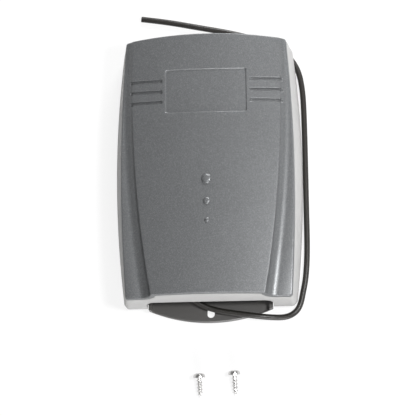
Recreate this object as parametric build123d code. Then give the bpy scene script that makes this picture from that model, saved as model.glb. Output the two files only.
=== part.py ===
from build123d import *
import math
import os

# A wall-mounted radio receiver, lying on its back, with its two fixing screws beside it.
# Sizes are millimetres. X points right, Y to the upper end, Z out of the wall. The origin is
# on the wall face and on the centre line, rim_bottom above the housing's lower edge.

# Housing outline at its rear rim
rim_level = 3.3
rim_half_width = 45.0
rim_side_curve = 1 / 525.0
rim_bottom = -65.0
rim_top = 67.0
rim_bottom_corner = 2.4
rim_top_corner = 6.0
top_edge_radius = 250.0
housing_wall = 1.8

# Draft of the four walls, from the rear rim to the front edge
front_level = 19.7
side_lean = 3.8
bottom_lean = 2.0
top_lean = 1.4
corner_lean = 1.0
front_side_curve = 1 / 700.0
front_widest_at = -8.0

# Front fascia: a crowned panel between two hollow flanks
fascia_thickness = 2.0
fascia_gap = 0.3
crown_radius = 210.0
crown_level = 26.8
panel_half_width = 34.9
panel_edge_radius = 583.0
panel_widest_at = 35.0
panel_edge_level = 24.5
panel_edge_soft = 0.35
flank_draft = 9.0
flank_level = 19.35
flank_rise = 2.5
flank_hollow = 5.2
lip_thickness = 1.4
lip_clearance = 0.2

# Marks on the panel
label_width = 38.6
label_height = 21.3
label_centre_y = 35.8
label_corner = 0.8
label_depth = 0.45
groove_width = 1.7
groove_depth = 0.75
groove_inner_end = 20.9
groove_outer_end = 36.6
groove_pitch = 5.25
groove_count = 3
dome_sizes = [(-7.7, 4.7, 1.2), (-18.4, 3.3, 0.9), (-27.6, 2.1, 0.6)]

# Ledge in the housing that carries the fascia, and the opening for the wires
notch_level = 12.9
notch_corner = 2.8
notch_gap = 0.5
ledge_above_notch = 0.5
ledge_thickness = 1.6
ledge_width = 1.9

# Wall base: a tray with a brim that fills the housing's rim, and a tab with the lower slot
floor_thickness = 2.2
tray_wall = 1.6
tray_corner = 4.0
brim_thickness = 2.1
brim_clearance = 0.3
tab_reach = 6.8
tab_radius = 74.0
tab_edge_soft = 0.5
slot_width = 3.5
slot_length = 4.8
slot_below_rim = 2.25
tray_above_slot = 7.25

# Push-fit pins that hold the cover on the base
pin_diameter = 3.2
pin_height = 5.5
pin_clearance = 0.15
pin_end_space = 0.6
pin_from_side = 8.2
pin_from_bottom = 8.5
pin_from_top = 16.5
boss_wall = 1.6

# Small round parts that repeat are made many-sided, to keep the model light
small_sides = 12

# Circuit board and its carriers
board_thickness = 1.6
board_above_floor = 2.5
board_side_clearance = 0.9
board_below_slot = 8.75
module_from_edge = 0.58
wiring_space = 15.0
standoff_diameter = 6.0
rest_post_diameter = 4.0
board_hole = 3.2
board_screw_hole = 2.1
board_screw_from_side = 3.3
board_screw_rows = [14.0, 80.0]
board_rest_row = 46.0
board_screw_head = 5.2
board_screw_head_height = 1.9
board_screw_shank = 1.9
board_screw_depth = 4.6
board_screw_reach = 5.8

# Screw terminals
terminal_pitch = 5.08
terminal_depth = 7.8
terminal_height = 10.0
terminal_shoulder = 6.4
terminal_front = 1.2
entry_width = 3.4
entry_height = 3.4
entry_above_board = 1.0
entry_depth = 4.6
terminal_well = 4.0
terminal_well_depth = 4.4
terminal_screw_diameter = 3.6
terminal_screw_height = 2.4
well_back = 4.7
power_poles = 2
antenna_poles = 2
output_poles = 3
terminals_from_left = 0.9
terminals_from_right = 1.7
block_gap = 0.6
terminal_from_edge = 0.5

# Parts on the board
relay_length = 19.0
relay_width = 15.4
relay_height = 15.2
relay_gap = 2.6
relay_above_terminal = 3.2
relay_from_left = 27.6
relay_round = 0.6
regulator_width = 10.0
regulator_body = (9.0, 4.5)
regulator_tab = (15.4, 1.3)
regulator_stand = 1.2
regulator_hole = 3.6
large_capacitor = (10.0, 12.5)
small_capacitor = (6.3, 11.0)
capacitor_rim = 0.5
diode_diameter = 2.7
diode_length = 5.2
diode_span = 9.6
diode_pitch = 4.6
varistor_diameter = 9.0
varistor_thickness = 3.6
transistor_diameter = 4.6
transistor_height = 4.6
transistor_stand = 2.4
chip_width = 6.4
chip_height = 3.2
chip_pitch = 2.54
chip_row = 7.62
socket_height = 4.2
socket_width = 10.2
crystal_length = 10.8
crystal_width = 4.4
crystal_height = 3.6
header_pitch = 2.54
header_base = 2.5
header_pin = 0.64
header_pin_height = 8.4
jumper_height = 7.0
led_diameter = 3.0
led_height = 4.6
lamp_flange_height = 1.0
switch_size = 6.0
switch_cup_height = 3.0
switch_cup_bore = 4.9
switch_cup_floor = 0.9
switch_cover = 0.4
button_diameter = 3.4
button_clearance = 0.2
button_flange = 4.3
button_flange_height = 1.5
button_top = 5.0
button_rest_gap = 0.05
module_length = 40.0
module_width = 14.0
module_thickness = 1.0
module_stand = 2.6
module_pins = 8
can_size = (15.0, 10.0, 3.6)
can_wall = 0.4
coil_size = 5.6
coil_height = 6.0
coil_core = 3.4
coil_core_depth = 0.8
leg_size = 0.6
resistor_size = (2.0, 1.25, 0.55)

# Columns of parts, across from the board's left edge
supply_column = 7.6
varistor_column = 17.6
capacitor_column = 20.5
memory_column = 21.0
transistor_column = 23.4
controller_column = 14.5
crystal_column = 33.0
header_from_crystal = 2.56
switch_columns = [34.0, 44.5]
resistor_column = 28.5
resistor_row_pitch = 2.5
resistor_rows = 5
fuse_resistor_columns = [30.0, 33.5, 37.0, 40.5]

# Gaps between the rows of parts, up the board
varistor_gap = 1.7
transistor_gap = 2.0
transistor_pitch = 5.5
capacitor_gap = 0.8
small_capacitor_gap = 0.65
memory_gap = 0.75
controller_gap = 2.8
diode_gap = 8.15
regulator_gap = 7.3
above_relays = 3.8
switch_gap = 1.2
lamp_gap = 2.1
module_gap = 0.5
controller_pin_count = 18
memory_pin_count = 8

# Places on the radio module, from its middle
strip_from_edge = 1.6
can_place = (-7.0, 0.8)
coil_place = (8.5, 0.8)

# Antenna cable, a thin coaxial lead with a bare cut end
cable_diameter = 2.8
cable_sides = 8
core_diameter = 0.9
core_gap = 0.4
core_spread = 1.9

# Fixing screws, lying loose below the housing: place of the tip, turn, length under the head
screw_head = 5.6
screw_head_height = 2.1
screw_shank = 2.9
screw_tip_length = 2.6
loose_screws = [(-5.6, -107.4, 1.5, 9.4), (11.1, -106.8, 2.6, 9.9)]

# Derived levels and places
brim_top = rim_level + brim_thickness
ledge_low = notch_level + ledge_above_notch
ledge_top = ledge_low + ledge_thickness
form_top = crown_level + 3.0
board_low = floor_thickness + board_above_floor
board_face = board_low + board_thickness
terminals_width = (power_poles + antenna_poles + 2 * output_poles) * terminal_pitch + block_gap
board_half_width = (terminals_from_left + terminals_width + terminals_from_right) / 2
board_left = -board_half_width
tray_inner = board_half_width + board_side_clearance
tray_half_width = tray_inner + tray_wall
notch_half_width = tray_half_width + notch_gap

# Rows of parts, up from the board's lower edge
header_rows = 3
lamp_flange = 0.4
terminals_top = terminal_from_edge + terminal_depth
relays_top = terminal_depth + relay_above_terminal + 2 * relay_width + relay_gap
varistor_row = terminals_top + varistor_gap + varistor_diameter / 2
transistor_row = terminals_top + transistor_gap + transistor_diameter / 2
transistors_top = transistor_row + transistor_pitch + transistor_diameter / 2
large_capacitor_row = transistors_top + capacitor_gap + large_capacitor[0] / 2
large_capacitor_top = large_capacitor_row + large_capacitor[0] / 2
small_capacitor_row = large_capacitor_top + small_capacitor_gap + small_capacitor[0] / 2
memory_row = small_capacitor_row + small_capacitor[0] / 2 + memory_gap + socket_width / 2
controller_row = memory_row + socket_width + controller_gap
diode_row = terminals_top + diode_gap + diode_diameter / 2
regulator_row = diode_row + 3 * diode_pitch + diode_diameter / 2 + regulator_gap + regulator_body[1] / 2
header_column = crystal_column + crystal_length / 2 + header_from_crystal + header_pitch
crystal_row = relays_top + above_relays + crystal_width / 2
header_row = relays_top + above_relays + header_rows * header_pitch / 2
header_top = header_row + header_rows * header_pitch / 2
switch_row = header_top + switch_gap + switch_size / 2
lamp_radius = led_diameter / 2 + lamp_flange
lamp_row = switch_row + switch_size / 2 + lamp_gap + lamp_radius
module_row = lamp_row + lamp_radius + module_gap + module_width / 2
board_length = module_row + module_width / 2 + module_from_edge

# Board and slots above the wiring space
board_bottom = rim_bottom + wiring_space
board_top = board_bottom + board_length
lower_slot_y = rim_bottom - slot_below_rim
upper_slot_y = board_top + board_below_slot
tray_top = upper_slot_y + tray_above_slot
pin_x = rim_half_width - pin_from_side
pin_places = [(side * pin_x, y) for side in (-1, 1)
              for y in (rim_bottom + pin_from_bottom, rim_top - pin_from_top)]
board_screw_x = board_half_width - board_screw_from_side
board_screw_places = [(side * board_screw_x, board_bottom + row) for side in (-1, 1)
                      for row in board_screw_rows]
power_left = board_left + terminals_from_left
antenna_left = power_left + power_poles * terminal_pitch
output_left = antenna_left + antenna_poles * terminal_pitch + block_gap
entry_level = board_face + entry_above_board + entry_height / 2
terminal_front_y = board_bottom + terminal_from_edge

# Cable centre line: out of the antenna terminal, through the wire opening and over the tab,
# down to the wall plane, up the right side, behind the upper corner and out at the top left.
cable_points = [
    (-11.2, -52.8, 9.1),
    (-11.1, -56.6, 8.2),
    (-9.3, -60.1, 6.4),
    (-5.9, -63.0, 4.6),
    (-0.8, -65.3, 3.9),
    (5.0, -66.9, 3.8),
    (11.5, -67.95, 3.85),
    (18.0, -69.0, 4.0),
    (23.4, -69.7, 3.6),
    (28.6, -69.95, 2.05),
    (34.2, -70.1, 1.5),
    (38.1, -69.1, 1.55),
    (41.0, -66.8, 1.5),
    (42.7, -63.5, 1.55),
    (43.9, -58.0, 1.5),
    (45.4, -51.0, 1.55),
    (46.5, -38.0, 1.5),
    (46.3, -16.0, 1.55),
    (46.45, 8.0, 1.5),
    (46.3, 28.0, 1.55),
    (45.9, 42.5, 1.5),
    (43.9, 53.2, 1.55),
    (38.2, 61.6, 1.5),
    (27.5, 67.8, 1.55),
    (13.0, 72.4, 1.5),
    (-5.0, 76.2, 1.55),
    (-21.0, 79.7, 1.5),
    (-33.1, 81.6, 1.55),
]


def write(part, name):
    # Each sub-part is written under its own name.
    part.label = name
    export_step(part, "parts/" + name + ".step")


def slab(low, high):
    # A wide flat block between two levels, used to trim what stands outside them.
    return Pos(0, 0, (low + high) / 2) * Box(400, 400, high - low)


def bar(diameter, height):
    # A many-sided bar that stands on level 0, or hangs below it if the height is negative.
    return extrude(RegularPolygon(diameter / 2, small_sides), height)


def disc_outside(centre_x, centre_y, radius):
    # A large disc whose seam lies away from the edge that the outline uses.
    turn = 180 if centre_x < 0 else 0
    return Pos(centre_x, centre_y) * Rot(0, 0, turn) * Circle(radius)


def outline(level, inset):
    # The housing's plan at one level, moved in from the outer face by inset.
    share = (level - rim_level) / (front_level - rim_level)
    half_width = rim_half_width - share * side_lean
    side_radius = 1 / (rim_side_curve + share * (front_side_curve - rim_side_curve))
    widest_at = share * front_widest_at
    low_y = rim_bottom + share * bottom_lean + inset
    high_y = rim_top - share * top_lean
    reach = 2 * rim_top - low_y
    plan = Pos(0, low_y + reach / 2) * Rectangle(4 * rim_half_width, reach)
    plan &= disc_outside(half_width - side_radius, widest_at, side_radius - inset)
    plan &= disc_outside(side_radius - half_width, widest_at, side_radius - inset)
    plan &= Pos(0, high_y - top_edge_radius) * Rot(0, 0, -90) * Circle(top_edge_radius - inset)
    # The outer corners are round; those inside the walls are cut straight across.
    top_corner = rim_top_corner - share * 2 * corner_lean
    bottom_corner = rim_bottom_corner - share * corner_lean
    ease = fillet if inset == 0 else chamfer
    straight = 1 if inset == 0 else 2 - math.sqrt(2)
    rows = plan.vertices().group_by(Axis.Y)
    plan = ease(rows[-1], max(top_corner - inset, 0.6) * straight)
    rows = plan.vertices().group_by(Axis.Y)
    plan = ease(rows[0], max(bottom_corner - inset, 0.6) * straight)
    return Pos(0, 0, level) * plan


def tapered(inset):
    # The drafted body of the housing, as one solid, moved in from its outer face.
    return loft([outline(rim_level, inset), outline(form_top, inset)], ruled=True)


def flank_cutter(inset):
    # What is hollowed out beside the panel: wall, hollow and flank, turned about a far axis.
    wall_slope = math.tan(math.radians(flank_draft))
    rise = math.tan(math.radians(flank_rise))
    edge = panel_edge_radius - inset / math.cos(math.radians(flank_draft))
    level = flank_level - inset / math.cos(math.radians(flank_rise))
    foot = (panel_edge_level - level) * wall_slope / (1 + rise * wall_slope)
    reach = rim_half_width
    above = form_top + 10
    top = edge - (above - panel_edge_level) * wall_slope
    corners = [
        (top, above),
        (edge + foot, level + foot * rise),
        (edge + reach, level + reach * rise),
        (edge + reach, above),
    ]
    section = make_face(Polyline(*corners, close=True))
    section = fillet(section.vertices().sort_by(Axis.Y)[0], flank_hollow + inset)
    half_turn = 14
    cutter = revolve(Plane.XZ * section, Axis.Z, 2 * half_turn)
    axis_x = panel_half_width - panel_edge_radius
    return Pos(axis_x, panel_widest_at, 0) * Rot(0, 0, -half_turn) * cutter


def front_form(inset):
    # Everything behind the fascia's face, moved back from that face by inset.
    length = 2 * (rim_top - rim_bottom)
    barrel = Pos(0, 0, crown_level - crown_radius) * Rot(90, 0, 0) * Cylinder(crown_radius - inset, length)
    form = barrel & Pos(0, 0, form_top / 2) * Box(3 * rim_half_width, length, form_top)
    right = flank_cutter(inset)
    return form - right - mirror(right, about=Plane.YZ)


def softened_front():
    # The fascia's outer body, with the panel's long edges softened.
    form = front_form(0)
    long_edges = [edge for edge in form.edges().filter_by(GeomType.BSPLINE)
                  if edge.bounding_box().min.Z > flank_level + flank_hollow / 2 and edge.length > 20]
    return tapered(0) & chamfer(long_edges, panel_edge_soft)


def recess(plan, depth):
    # A pocket of even depth under the curved face, with the given plan.
    return extrude(plan, form_top + 2) - front_form(depth)


def front_fascia():
    # The dark front: crowned panel, hollow flanks, label place, grooves, domes and inner lip.
    shell = softened_front() - front_form(fascia_thickness)
    lip = tapered(housing_wall + lip_clearance) - tapered(housing_wall + lip_clearance + lip_thickness)
    lip = lip & slab(ledge_top, form_top) & front_form(fascia_thickness / 2)
    shell += lip
    label = RectangleRounded(label_width, label_height, label_corner)
    shell -= recess(Pos(0, label_centre_y) * label, label_depth)
    for row in range(groove_count):
        y = label_centre_y + (row - (groove_count - 1) / 2) * groove_pitch
        length = groove_outer_end - groove_inner_end
        middle = (groove_outer_end + groove_inner_end) / 2
        slot = Pos(middle, y) * SlotOverall(length, groove_width)
        cut = recess(slot, groove_depth)
        shell = shell - cut - mirror(cut, about=Plane.YZ)
    for y, diameter, height in dome_sizes:
        radius = ((diameter / 2) ** 2 + height ** 2) / (2 * height)
        ball = Pos(0, y, crown_level + height - radius) * Sphere(radius)
        shell += ball & slab(crown_level - fascia_thickness / 2, form_top)
    return shell


def housing_frame():
    # The light-grey frame: four drafted walls, the fascia's ledge, four bosses, wire opening.
    top = front_form(fascia_thickness + fascia_gap)
    walls = (tapered(0) - tapered(housing_wall)) & top
    ledge = tapered(housing_wall / 2) - tapered(housing_wall + ledge_width)
    walls += ledge & slab(ledge_low, ledge_top)
    boss_radius = pin_diameter / 2 + pin_clearance + boss_wall
    boss_height = ledge_top - brim_top
    inside = tapered(housing_wall / 2)
    for x, y in pin_places:
        side = math.copysign(1, x)
        tube = Pos(x, y) * RegularPolygon(boss_radius, small_sides)
        web = Pos(x + side * boss_radius, y) * Rectangle(2 * boss_radius, boss_wall)
        boss = Pos(0, 0, brim_top) * extrude(tube + web, boss_height)
        walls += boss & inside
    for x, y in pin_places:
        walls -= Pos(x, y, brim_top) * bar(pin_diameter + 2 * pin_clearance, pin_height + pin_end_space)
    opening = Rectangle(2 * notch_half_width, 2 * notch_level)
    opening = fillet(opening.vertices().group_by(Axis.Y)[-1], notch_corner)
    walls -= Pos(0, rim_bottom + 8, 0) * Rot(90, 0, 0) * extrude(opening, 20)
    return walls


def tray_outline(inset):
    # Plan of the tray with its tab; only the straight sides and the top move in by inset.
    low = rim_bottom - tab_reach
    height = tray_top - inset - low
    width = 2 * (tray_half_width - inset)
    plan = Pos(0, low + height / 2) * Rectangle(width, height)
    plan = fillet(plan.vertices().group_by(Axis.Y)[-1], max(tray_corner - inset, 0.4))
    return plan & Pos(0, low + tab_radius) * Rot(0, 0, 90) * Circle(tab_radius + (tray_top - low))


def tab_cut():
    # The ground outside the tab's curved lower edge.
    low = rim_bottom - tab_reach
    block = Pos(0, low) * Rectangle(4 * tray_half_width, 3 * tab_reach)
    return block - Pos(0, low + tab_radius) * Rot(0, 0, 90) * Circle(tab_radius)


def fixing_slot():
    # One upright slot for a wall screw.
    return Rot(0, 0, 90) * SlotOverall(slot_length, slot_width)


def wall_base():
    # The black base that is screwed to the wall, with tray, brim, pins, standoffs and slots.
    floor = extrude(tray_outline(0) - tab_cut(), floor_thickness)
    tab_edge = floor.faces().sort_by(Axis.Y)[0].edges().sort_by(Axis.Z)[-1]
    floor = chamfer(tab_edge, tab_edge_soft)
    rim = extrude(tray_outline(0) - tray_outline(tray_wall) - tab_cut(), brim_top)
    base = floor + rim
    brim = tapered(housing_wall + brim_clearance) & slab(rim_level, brim_top)
    inner = tray_outline(tray_wall / 2) + Pos(0, rim_bottom) * Rectangle(2 * tray_half_width, 2 * tab_reach)
    base += brim - extrude(inner, form_top)
    for x, y in pin_places:
        root = brim_thickness / 2
        base += Pos(x, y, brim_top - root) * bar(pin_diameter, pin_height + root)
    lift = board_low - floor_thickness / 2
    for x, y in board_screw_places:
        base += Pos(x, y, floor_thickness / 2) * bar(standoff_diameter, lift)
    for side in (-1, 1):
        place = Pos(side * board_screw_x, board_bottom + board_rest_row, floor_thickness / 2)
        base += place * bar(rest_post_diameter, lift)
    for x, y in board_screw_places:
        base -= Pos(x, y, board_low) * bar(board_screw_hole, -board_screw_depth)
    for y in (lower_slot_y, upper_slot_y):
        base -= Pos(0, y, -1) * extrude(fixing_slot(), floor_thickness + 2)
    return base


def on_board(across, along, above=0.0):
    # A place on the board, measured from its lower left corner and its upper face.
    return Pos(board_left + across, board_bottom + along, board_face + above)


def circuit_board():
    # The main board with its four screw holes.
    plate = RectangleRounded(2 * board_half_width, board_length, 1.0)
    plate = Pos(0, board_bottom + board_length / 2) * plate
    for x, y in board_screw_places:
        plate -= Pos(x, y) * RegularPolygon(board_hole / 2, small_sides)
    return Pos(0, 0, board_low) * extrude(plate, board_thickness)


def pan_screw(head, head_height, shank, length, tip):
    # A pan-head screw on the Z axis: head above level 0, plain shank and pointed tip below.
    shoulder = head_height * 0.45
    point = loft([
        Pos(0, 0, -length) * RegularPolygon(shank / 20, small_sides),
        Pos(0, 0, tip - length) * RegularPolygon(shank / 2, small_sides)], ruled=True)
    crown = loft([
        Pos(0, 0, shoulder) * RegularPolygon(head / 2, small_sides),
        Pos(0, 0, head_height) * RegularPolygon(head * 0.3, small_sides)], ruled=True)
    return point + Pos(0, 0, tip - length) * bar(shank, length - tip) + bar(head, shoulder) + crown


def board_screws():
    # Four small screws that hold the board on its standoffs.
    screws = []
    for x, y in board_screw_places:
        screw = bar(board_screw_head, board_screw_head_height) + bar(board_screw_shank, -board_screw_reach)
        screws.append(Pos(x, y, board_face) * screw)
    return Compound(children=screws)


def terminal_block(poles):
    # A block of screw terminals with its left end at X 0, its wire entries facing -Y.
    width = poles * terminal_pitch
    side = make_face(Polyline(
        (0, 0), (terminal_depth, 0), (terminal_depth, terminal_height),
        (terminal_front + 0.6, terminal_height), (terminal_front, terminal_shoulder),
        (0, terminal_shoulder - 0.5), close=True))
    block = Plane.YZ * extrude(side, width)
    for pole in range(poles):
        x = (pole + 0.5) * terminal_pitch
        entry = Box(entry_width, 2 * entry_depth, entry_height)
        block -= Pos(x, 0, entry_above_board + entry_height / 2) * entry
        block -= Pos(x, well_back, terminal_height) * bar(terminal_well, -terminal_well_depth)
    return block


def terminal_place(left):
    # Where a block stands: at the board's lower edge.
    return Pos(left, terminal_front_y, board_face)


def terminal_screws():
    # The clamp screws, seated on the floor of each well.
    lefts = [power_left + pole * terminal_pitch for pole in range(power_poles)]
    lefts += [antenna_left + pole * terminal_pitch for pole in range(antenna_poles)]
    lefts += [output_left + pole * terminal_pitch for pole in range(2 * output_poles)]
    screws = []
    for left in lefts:
        seat = terminal_height - terminal_well_depth
        place = terminal_place(left) * Pos(terminal_pitch / 2, well_back, seat)
        screws.append(place * bar(terminal_screw_diameter, terminal_screw_height))
    return Compound(children=screws)


def relay():
    # A sealed relay with rounded edges, standing on the board.
    body = extrude(RectangleRounded(relay_length, relay_width, relay_round), relay_height)
    return chamfer(body.faces().sort_by(Axis.Z)[-1].edges(), relay_round)


def relay_place(number):
    # The relays stand one above the other, above the output terminals.
    along = terminal_depth + relay_above_terminal + relay_width / 2 + number * (relay_width + relay_gap)
    return on_board(relay_from_left + relay_length / 2, along)


def can_capacitor(diameter, height):
    # An electrolytic capacitor: a can with a softened rim.
    can = bar(diameter, height)
    return chamfer(can.faces().sort_by(Axis.Z)[-1].edges(), capacitor_rim)


def filter_capacitors():
    # The two smoothing capacitors of the supply.
    large = on_board(capacitor_column, large_capacitor_row) * can_capacitor(*large_capacitor)
    small = on_board(varistor_column, small_capacitor_row) * can_capacitor(*small_capacitor)
    return Compound(children=[large, small])


def lying_part(diameter, length, span):
    # A cylinder lying along X and touching the board, with a square bent leg at each end.
    part = Pos(-length / 2, 0, diameter / 2) * Rot(0, 90, 0) * bar(diameter, length)
    inner = length / 2 - 0.5
    leg = make_face(Polyline(
        (inner, (diameter - leg_size) / 2), (span / 2 - leg_size, (diameter - leg_size) / 2),
        (span / 2 - leg_size, 0), (span / 2, 0), (span / 2, (diameter + leg_size) / 2),
        (inner, (diameter + leg_size) / 2), close=True))
    leg = Pos(0, leg_size / 2, 0) * (Plane.XZ * extrude(leg, leg_size))
    return part + leg + mirror(leg, about=Plane.YZ)


def rectifier_diodes():
    # Four diodes of the bridge, side by side above the power terminal.
    diodes = []
    for number in range(4):
        place = on_board(supply_column, diode_row + number * diode_pitch)
        diodes.append(place * lying_part(diode_diameter, diode_length, diode_span))
    return Compound(children=diodes)


def surge_varistor():
    # A disc varistor on edge, on two short legs.
    disc = bar(varistor_diameter, varistor_thickness)
    disc = chamfer(disc.faces().sort_by(Axis.Z)[0].edges() + disc.faces().sort_by(Axis.Z)[-1].edges(), 0.8)
    part = Pos(-varistor_thickness / 2, 0, 1.5 + varistor_diameter / 2) * Rot(0, 90, 0) * disc
    for side in (-1, 1):
        leg = Box(leg_size, leg_size, 3.0)
        part += Pos(0, side * 2.5, 1.5) * leg
    return part


def voltage_regulator():
    # A regulator with its metal tab, standing on three legs.
    depth = regulator_body[1]
    height = regulator_body[0]
    body = Pos(0, 0, regulator_stand + height / 2) * Box(regulator_width, depth, height)
    body = chamfer(body.faces().sort_by(Axis.Y)[0].edges(), 0.5)
    tab_height, tab_thickness = regulator_tab
    tab = Rectangle(regulator_width, tab_height)
    tab = chamfer(tab.vertices().group_by(Axis.Y)[-1], 1.2)
    tab -= Pos(0, tab_height / 2 - 2.9) * Circle(regulator_hole / 2)
    tab = Rot(90, 0, 0) * extrude(tab, tab_thickness)
    part = body + Pos(0, depth / 2, regulator_stand + tab_height / 2) * tab
    for number in (-1, 0, 1):
        leg = Box(1.0, 0.5, 2 * regulator_stand)
        part += Pos(number * chip_pitch, 0, regulator_stand) * leg
    return part


def chip(pins):
    # A chip with two rows of legs, lying along X, its body above level 0.
    length = pins / 2 * chip_pitch - 0.3
    low = Rectangle(length, chip_width)
    middle = Pos(0, 0, chip_height / 2) * low
    narrow = Pos(0, 0, chip_height) * Rectangle(length - 0.6, chip_width - 0.6)
    bottom = Rectangle(length - 0.6, chip_width - 0.6)
    body = loft([bottom, middle], ruled=True) + loft([middle, narrow], ruled=True)
    body -= Pos(-length / 2, 0, chip_height) * bar(1.8, -0.3)
    for number in range(int(pins / 2)):
        x = (number - (pins / 2 - 1) / 2) * chip_pitch
        for side in (-1, 1):
            foot = Polyline(
                (chip_width / 2 - 0.4, chip_height / 2 + 0.15), (chip_row / 2, chip_height / 2 + 0.15),
                (chip_row / 2, -0.6), (chip_row / 2 - 0.3, -0.6), (chip_row / 2 - 0.3, chip_height / 2 - 0.15),
                (chip_width / 2 - 0.4, chip_height / 2 - 0.15), close=True)
            leg = Pos(x - 0.6, 0, 0) * (Plane.YZ * extrude(make_face(foot), 1.2))
            body += leg if side > 0 else mirror(leg, about=Plane.XZ)
    return body


def chip_socket(pins):
    # The open frame that a chip plugs into, with a hole for each leg.
    length = pins / 2 * chip_pitch
    frame = Rectangle(length, socket_width) - Rectangle(length - 2.4, chip_row - 2.6)
    body = extrude(frame, socket_height)
    for number in range(int(pins / 2)):
        x = (number - (pins / 2 - 1) / 2) * chip_pitch
        for side in (-1, 1):
            place = Pos(x, side * (chip_row / 2 - 0.15), socket_height)
            body -= place * Box(1.6, 0.9, 2.4)
    return body


def clock_crystal():
    # A low metal can with a flange, round at both ends.
    can = extrude(SlotOverall(crystal_length - 0.8, crystal_width - 0.6), crystal_height)
    return can + extrude(SlotOverall(crystal_length, crystal_width), 0.5)


def small_transistor():
    # A transistor with one flat side, on three legs.
    round_part = Circle(transistor_diameter / 2)
    body = round_part - Pos(0, -transistor_diameter / 2 - 0.6) * Rectangle(
        2 * transistor_diameter, transistor_diameter)
    part = Pos(0, 0, transistor_stand) * extrude(body, transistor_height)
    for number in (-1, 0, 1):
        leg = Box(0.5, 0.5, transistor_stand + 0.4)
        part += Pos(number * chip_pitch / 2, 0.3, (transistor_stand + 0.4) / 2) * leg
    return part


def status_led():
    # A round lamp with a domed top and a foot ring.
    lens = bar(led_diameter, led_height)
    lens = chamfer(lens.faces().sort_by(Axis.Z)[-1].edges(), led_diameter / 4)
    return lens + bar(2 * lamp_radius, lamp_flange_height)


def pin_header(columns, rows, tall):
    # Square pins in a plastic strip.
    strip = Pos(0, 0, header_base / 2) * Box(columns * header_pitch, rows * header_pitch, header_base)
    for column in range(columns):
        for row in range(rows):
            x = (column - (columns - 1) / 2) * header_pitch
            y = (row - (rows - 1) / 2) * header_pitch
            strip += Pos(x, y, tall / 2) * Box(header_pin, header_pin, tall)
    return strip


def jumper_cap():
    # A small cap that bridges two pins, with its two sockets.
    cap = Box(header_pitch * 2 - 0.2, header_pitch - 0.2, jumper_height)
    cap = chamfer(cap.faces().sort_by(Axis.Z)[-1].edges(), 0.3)
    cap = Pos(0, 0, jumper_height / 2) * cap
    depth = header_pin_height - header_base + 0.3
    for side in (-1, 1):
        socket = Box(header_pin + 0.3, header_pin + 0.3, 2 * depth)
        cap -= Pos(side * header_pitch / 2, 0, 0) * socket
    return cap


def switch_cup():
    # The lower half of a small push switch, open at the top.
    cup = extrude(Rectangle(switch_size, switch_size), switch_cup_height)
    depth = switch_cup_height - switch_cup_floor
    return cup - Pos(0, 0, switch_cup_height) * bar(switch_cup_bore, -depth)


def switch_plate():
    # The metal cover that keeps the button in the switch.
    plate = Rectangle(switch_size, switch_size)
    plate -= RegularPolygon(button_diameter / 2 + button_clearance, small_sides)
    return Pos(0, 0, switch_cup_height) * extrude(plate, switch_cover)


def learn_button():
    # The button: a round stem with a flange that the cover holds back.
    flange_top = switch_cup_height - button_rest_gap
    flange = Pos(0, 0, flange_top) * bar(button_flange, -button_flange_height)
    stem_height = button_top - flange_top + button_flange_height / 2
    return flange + Pos(0, 0, button_top) * bar(button_diameter, -stem_height)


switch_places = [on_board(column, switch_row) for column in switch_columns]


def receiver_module():
    # The small radio board, held above the main board by its pin strip.
    return Pos(0, 0, module_stand) * extrude(
        RectangleRounded(module_length, module_width, 0.5), module_thickness)


def shield_can():
    # The pressed cover over the radio circuit, open underneath.
    length, width, height = can_size
    can = extrude(Rectangle(length, width), height)
    can = chamfer(can.edges().filter_by(Axis.Z) + can.faces().sort_by(Axis.Z)[-1].edges(), can_wall)
    inner = extrude(Rectangle(length - 2 * can_wall, width - 2 * can_wall), height - can_wall)
    return can - inner


def tuning_coil():
    # A small metal can with a hole in its top for the tuning core.
    body = extrude(RectangleRounded(coil_size, coil_size, 0.5), coil_height)
    body = chamfer(body.faces().sort_by(Axis.Z)[-1].edges(), 0.3)
    body -= Pos(0, 0, coil_height) * bar(coil_core, -coil_core_depth)
    return body + Pos(0, 0, coil_height - coil_core_depth) * bar(coil_core - 0.4, coil_core_depth / 2)


module_place = on_board(board_half_width, module_row)


def chip_resistor():
    # A tiny block resistor that lies on the board.
    length, width, height = resistor_size
    return Pos(0, 0, height / 2) * Box(length, width, height)


def chip_resistors():
    # One column beside the switches and one row between the terminals and the relays.
    low = switch_row - (resistor_rows - 1) * resistor_row_pitch / 2
    places = [(resistor_column, low + row * resistor_row_pitch) for row in range(resistor_rows)]
    row_between = (terminals_top + terminal_depth + relay_above_terminal) / 2
    places += [(column, row_between) for column in fuse_resistor_columns]
    return Compound(children=[on_board(*place) * chip_resistor() for place in places])


def cable_radii(points):
    # Each corner's radius is as large as its two runs allow.
    radii = []
    for before, here, after in zip(points, points[1:], points[2:]):
        run_in = Vector(*here) - Vector(*before)
        run_out = Vector(*after) - Vector(*here)
        turn = math.radians(run_in.get_angle(run_out))
        radii.append(0.45 * min(run_in.length, run_out.length) / math.tan(turn / 2))
    return radii


def tube(points, diameter, radii):
    # A tube of many flat sides along straight runs joined by tangent arcs, and its path's length.
    path = FilletPolyline(*points, radius=radii)
    start = Plane(path @ 0, x_dir=(0, 0, 1), z_dir=path % 0)
    section = start * RegularPolygon(diameter / 2, cable_sides)
    return sweep(section, path=path), path.length, section.area


def antenna_cable():
    # The antenna lead, from its stripped end inside to its bare end above the housing.
    radii = cable_radii(cable_points)
    solid, length, area = tube(cable_points, cable_diameter, radii)
    expected = area * length
    print("cable radii", [round(radius, 1) for radius in radii])
    print("cable length", round(length, 1), "volume share", round(solid.volume / expected, 4))
    return solid


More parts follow.
